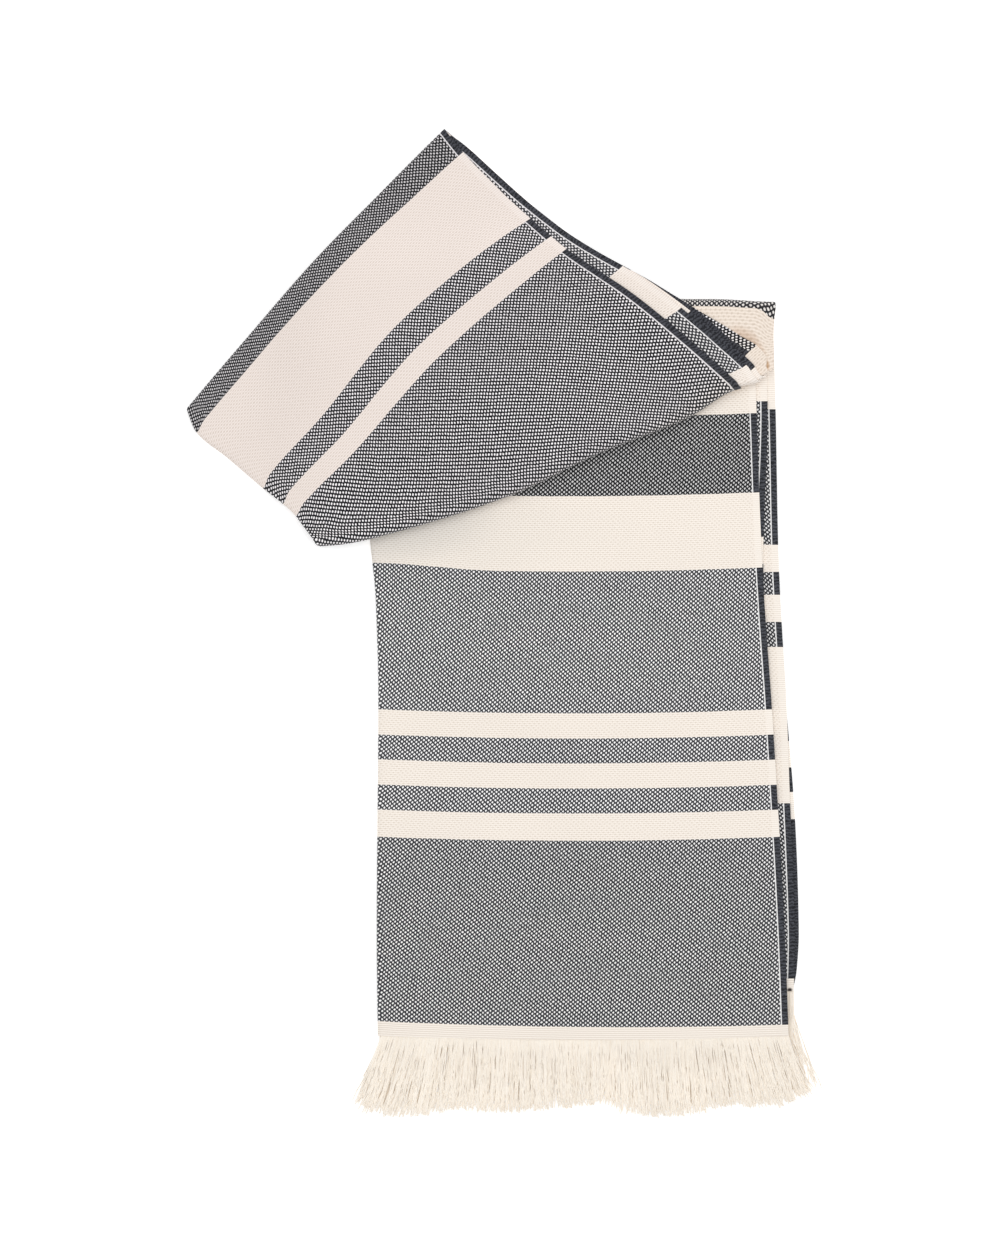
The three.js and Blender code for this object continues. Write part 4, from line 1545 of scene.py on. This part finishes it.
        line = graph.get("GeometryNodeCurvePrimitiveLine", "Curve", {"End": (0.0, -1.0, 0.0)})
        steps = {"Curve": line, "Count": size("Segments")}
        spaced = graph.get("GeometryNodeResampleCurve", "Curve", steps)
        points = graph.get("GeometryNodeMeshToPoints", "Points", {"Mesh": size("Geometry")})
        each = {"Points": points, "Instance": spaced}
        placed = graph.get("GeometryNodeInstanceOnPoints", "Instances", each)
        yarns = graph.get("GeometryNodeRealizeInstances", "Geometry", {"Geometry": placed})
        factor, offset = self.bend(graph, size)
        moved = {"Geometry": yarns, "Offset": offset}
        bent = graph.get("GeometryNodeSetPosition", "Geometry", moved)
        thinned = {"Curve": bent, "Radius": factor * -self.taper + 1.0}
        tapered = graph.get("GeometryNodeSetCurveRadius", "Curve", thinned)
        round_sizes = {"Resolution": size("Sides"), "Radius": size("Yarn radius")}
        profile = graph.get("GeometryNodeCurvePrimitiveCircle", "Curve", round_sizes)
        swept = {"Curve": tapered, "Profile Curve": profile, "Fill Caps": True}
        skin = graph.get("GeometryNodeCurveToMesh", "Mesh", swept)
        smooth = graph.get("GeometryNodeSetShadeSmooth", "Geometry", {"Geometry": skin})
        whole = graph.get("GeometryNodeRealizeInstances", "Geometry", {"Geometry": smooth})
        dress = {"Geometry": whole, "Material": material}
        dressed = graph.get("GeometryNodeSetMaterial", "Geometry", dress)
        graph.add("NodeGroupOutput", {"Geometry": dressed})
        return tree

    def build(self) -> bpy.types.Object:
        """Make the fringe as one plain mesh.

        Returns:
            The fringe.
        """
        roots = self.root_object()
        modifier = roots.modifiers.new("yarns", "NODES")
        modifier.node_group = self.tree(self.yarn.material())
        sizes = self.sizes()
        for item in modifier.node_group.interface.items_tree:
            if item.in_out == "INPUT" and item.name in sizes:
                modifier[item.identifier] = sizes[item.name]
        evaluated = roots.evaluated_get(bpy.context.evaluated_depsgraph_get())
        mesh = bpy.data.meshes.new_from_object(evaluated)
        roots.modifiers.remove(modifier)
        roots.data = mesh
        mesh.name = self.name
        return roots


# ---------------------------------------------------------------- the studio
@dataclass(frozen=True)
class Lamp:
    """A square soft light: its name, place, side in metres and power in watts."""

    name: str
    place: tuple[float, float, float]
    size: float
    power: float

    def build(self) -> None:
        """Add the light, turned towards the middle of the floor."""
        data = bpy.data.lights.new(self.name, "AREA")
        data.shape = "SQUARE"
        data.size = self.size
        data.energy = self.power
        light = bpy.data.objects.new(self.name, data)
        bpy.context.scene.collection.objects.link(light)
        light.location = self.place
        light.rotation_mode = "QUATERNION"
        light.rotation_quaternion = (-Vector(self.place)).to_track_quat("-Z", "Y")


@dataclass(frozen=True)
class Studio:
    """A pale floor, soft light from above and the camera over the towel."""

    floor_size: float = 8.0
    floor_colour: tuple = rgb(250, 250, 250)
    floor_glow: float = 0.3
    white: tuple = (1.0, 1.0, 1.0, 1.0)
    surround_strength: float = 0.62
    lens: float = 135.0
    sensor: float = 36.0
    view_height: float = 1.07125
    aim: tuple[float, float, float] = (0.857 * MM, -1.7 * MM, 0.010)
    clip_end: float = 50.0
    lamps: tuple[Lamp, ...] = (
        Lamp("overhead", (0.0, 0.3, 2.6), 3.2, 38.0),
        Lamp("far_right", (2.2, 2.0, 1.5), 1.6, 16.0),
    )

    def floor(self) -> bpy.types.Object:
        """Make the floor.

        Returns:
            The floor.
        """
        half = self.floor_size / 2 / MM
        points = np.array([[-half, -half, 0], [half, -half, 0], [half, half, 0], [-half, half, 0]])
        glow = {"Emission Color": self.white, "Emission Strength": self.floor_glow}
        matt = {"Base Color": self.floor_colour, "Roughness": 0.95, "Specular IOR Level": 0.0}
        material = new_material("pale_floor", matt | glow)[0]
        made = object_from("floor", points, np.array([[0, 1, 2, 3]]), material)
        return made

    def lights(self) -> None:
        """Add a wide soft light overhead, a gentle one from the far right, and a pale surround."""
        world = bpy.data.worlds.new("surround")
        bpy.context.scene.world = world
        world.use_nodes = True
        background = world.node_tree.nodes["Background"]
        background.inputs["Color"].default_value = self.white
        background.inputs["Strength"].default_value = self.surround_strength
        for lamp in self.lamps:
            lamp.build()

    def camera(self) -> None:
        """Add the camera, looking straight down."""
        data = bpy.data.cameras.new("camera")
        data.lens = self.lens
        data.sensor_width = self.sensor
        data.clip_end = self.clip_end
        camera = bpy.data.objects.new("camera", data)
        bpy.context.scene.collection.objects.link(camera)
        distance = self.view_height * self.lens / self.sensor
        camera.location = (self.aim[0], self.aim[1], self.aim[2] + distance)
        bpy.context.scene.camera = camera

    def build(self) -> bpy.types.Object:
        """Set the studio up.

        Returns:
            Its floor.
        """
        bpy.context.scene.view_settings.view_transform = "Standard"
        self.camera()
        self.lights()
        return self.floor()


def main() -> None:
    """Build the towel and its studio, and tie each piece to the solids."""
    logging.basicConfig(level=logging.INFO, format="%(name)s: %(message)s")
    fold = StripFold()
    floor = Studio().build()
    cloth = TowelCloth(fold, StripedWeave()).build()
    log.info("cloth: %d faces", len(cloth.data.polygons))
    outer = Fringe(
        "fringe_outer_yarns", fold, Half.OUTER, FringeYarn("outer_fringe_cotton"),
        (
            YarnLayer(Side.UPPER, count=1500, root_height=5.3, level=3.2, lean_from=0, shorter=0),
            YarnLayer(Side.LOWER, count=700, root_height=0.65, level=0.0, lean_from=0, shorter=7),
        ),
        seed=11,
    ).build()
    inner = Fringe(
        "fringe_inner_yarns", fold, Half.INNER, FringeYarn("inner_fringe_cotton"),
        (
            YarnLayer(Side.UPPER, count=560, root_height=3.6, level=2.2, lean_from=-357, shorter=22),
            YarnLayer(Side.LOWER, count=560, root_height=1.9, level=1.2, lean_from=-357, shorter=18),
        ),
        seed=23,
    ).build()
    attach(cloth, "root")
    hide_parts("towel")
    for piece, node in ((outer, "fringe_outer_end"), (inner, "fringe_inner_end")):
        log.info("%s: %d faces", piece.name, len(piece.data.polygons))
        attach(piece, "root")
        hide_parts(node)


if __name__ == "__main__":
    main()
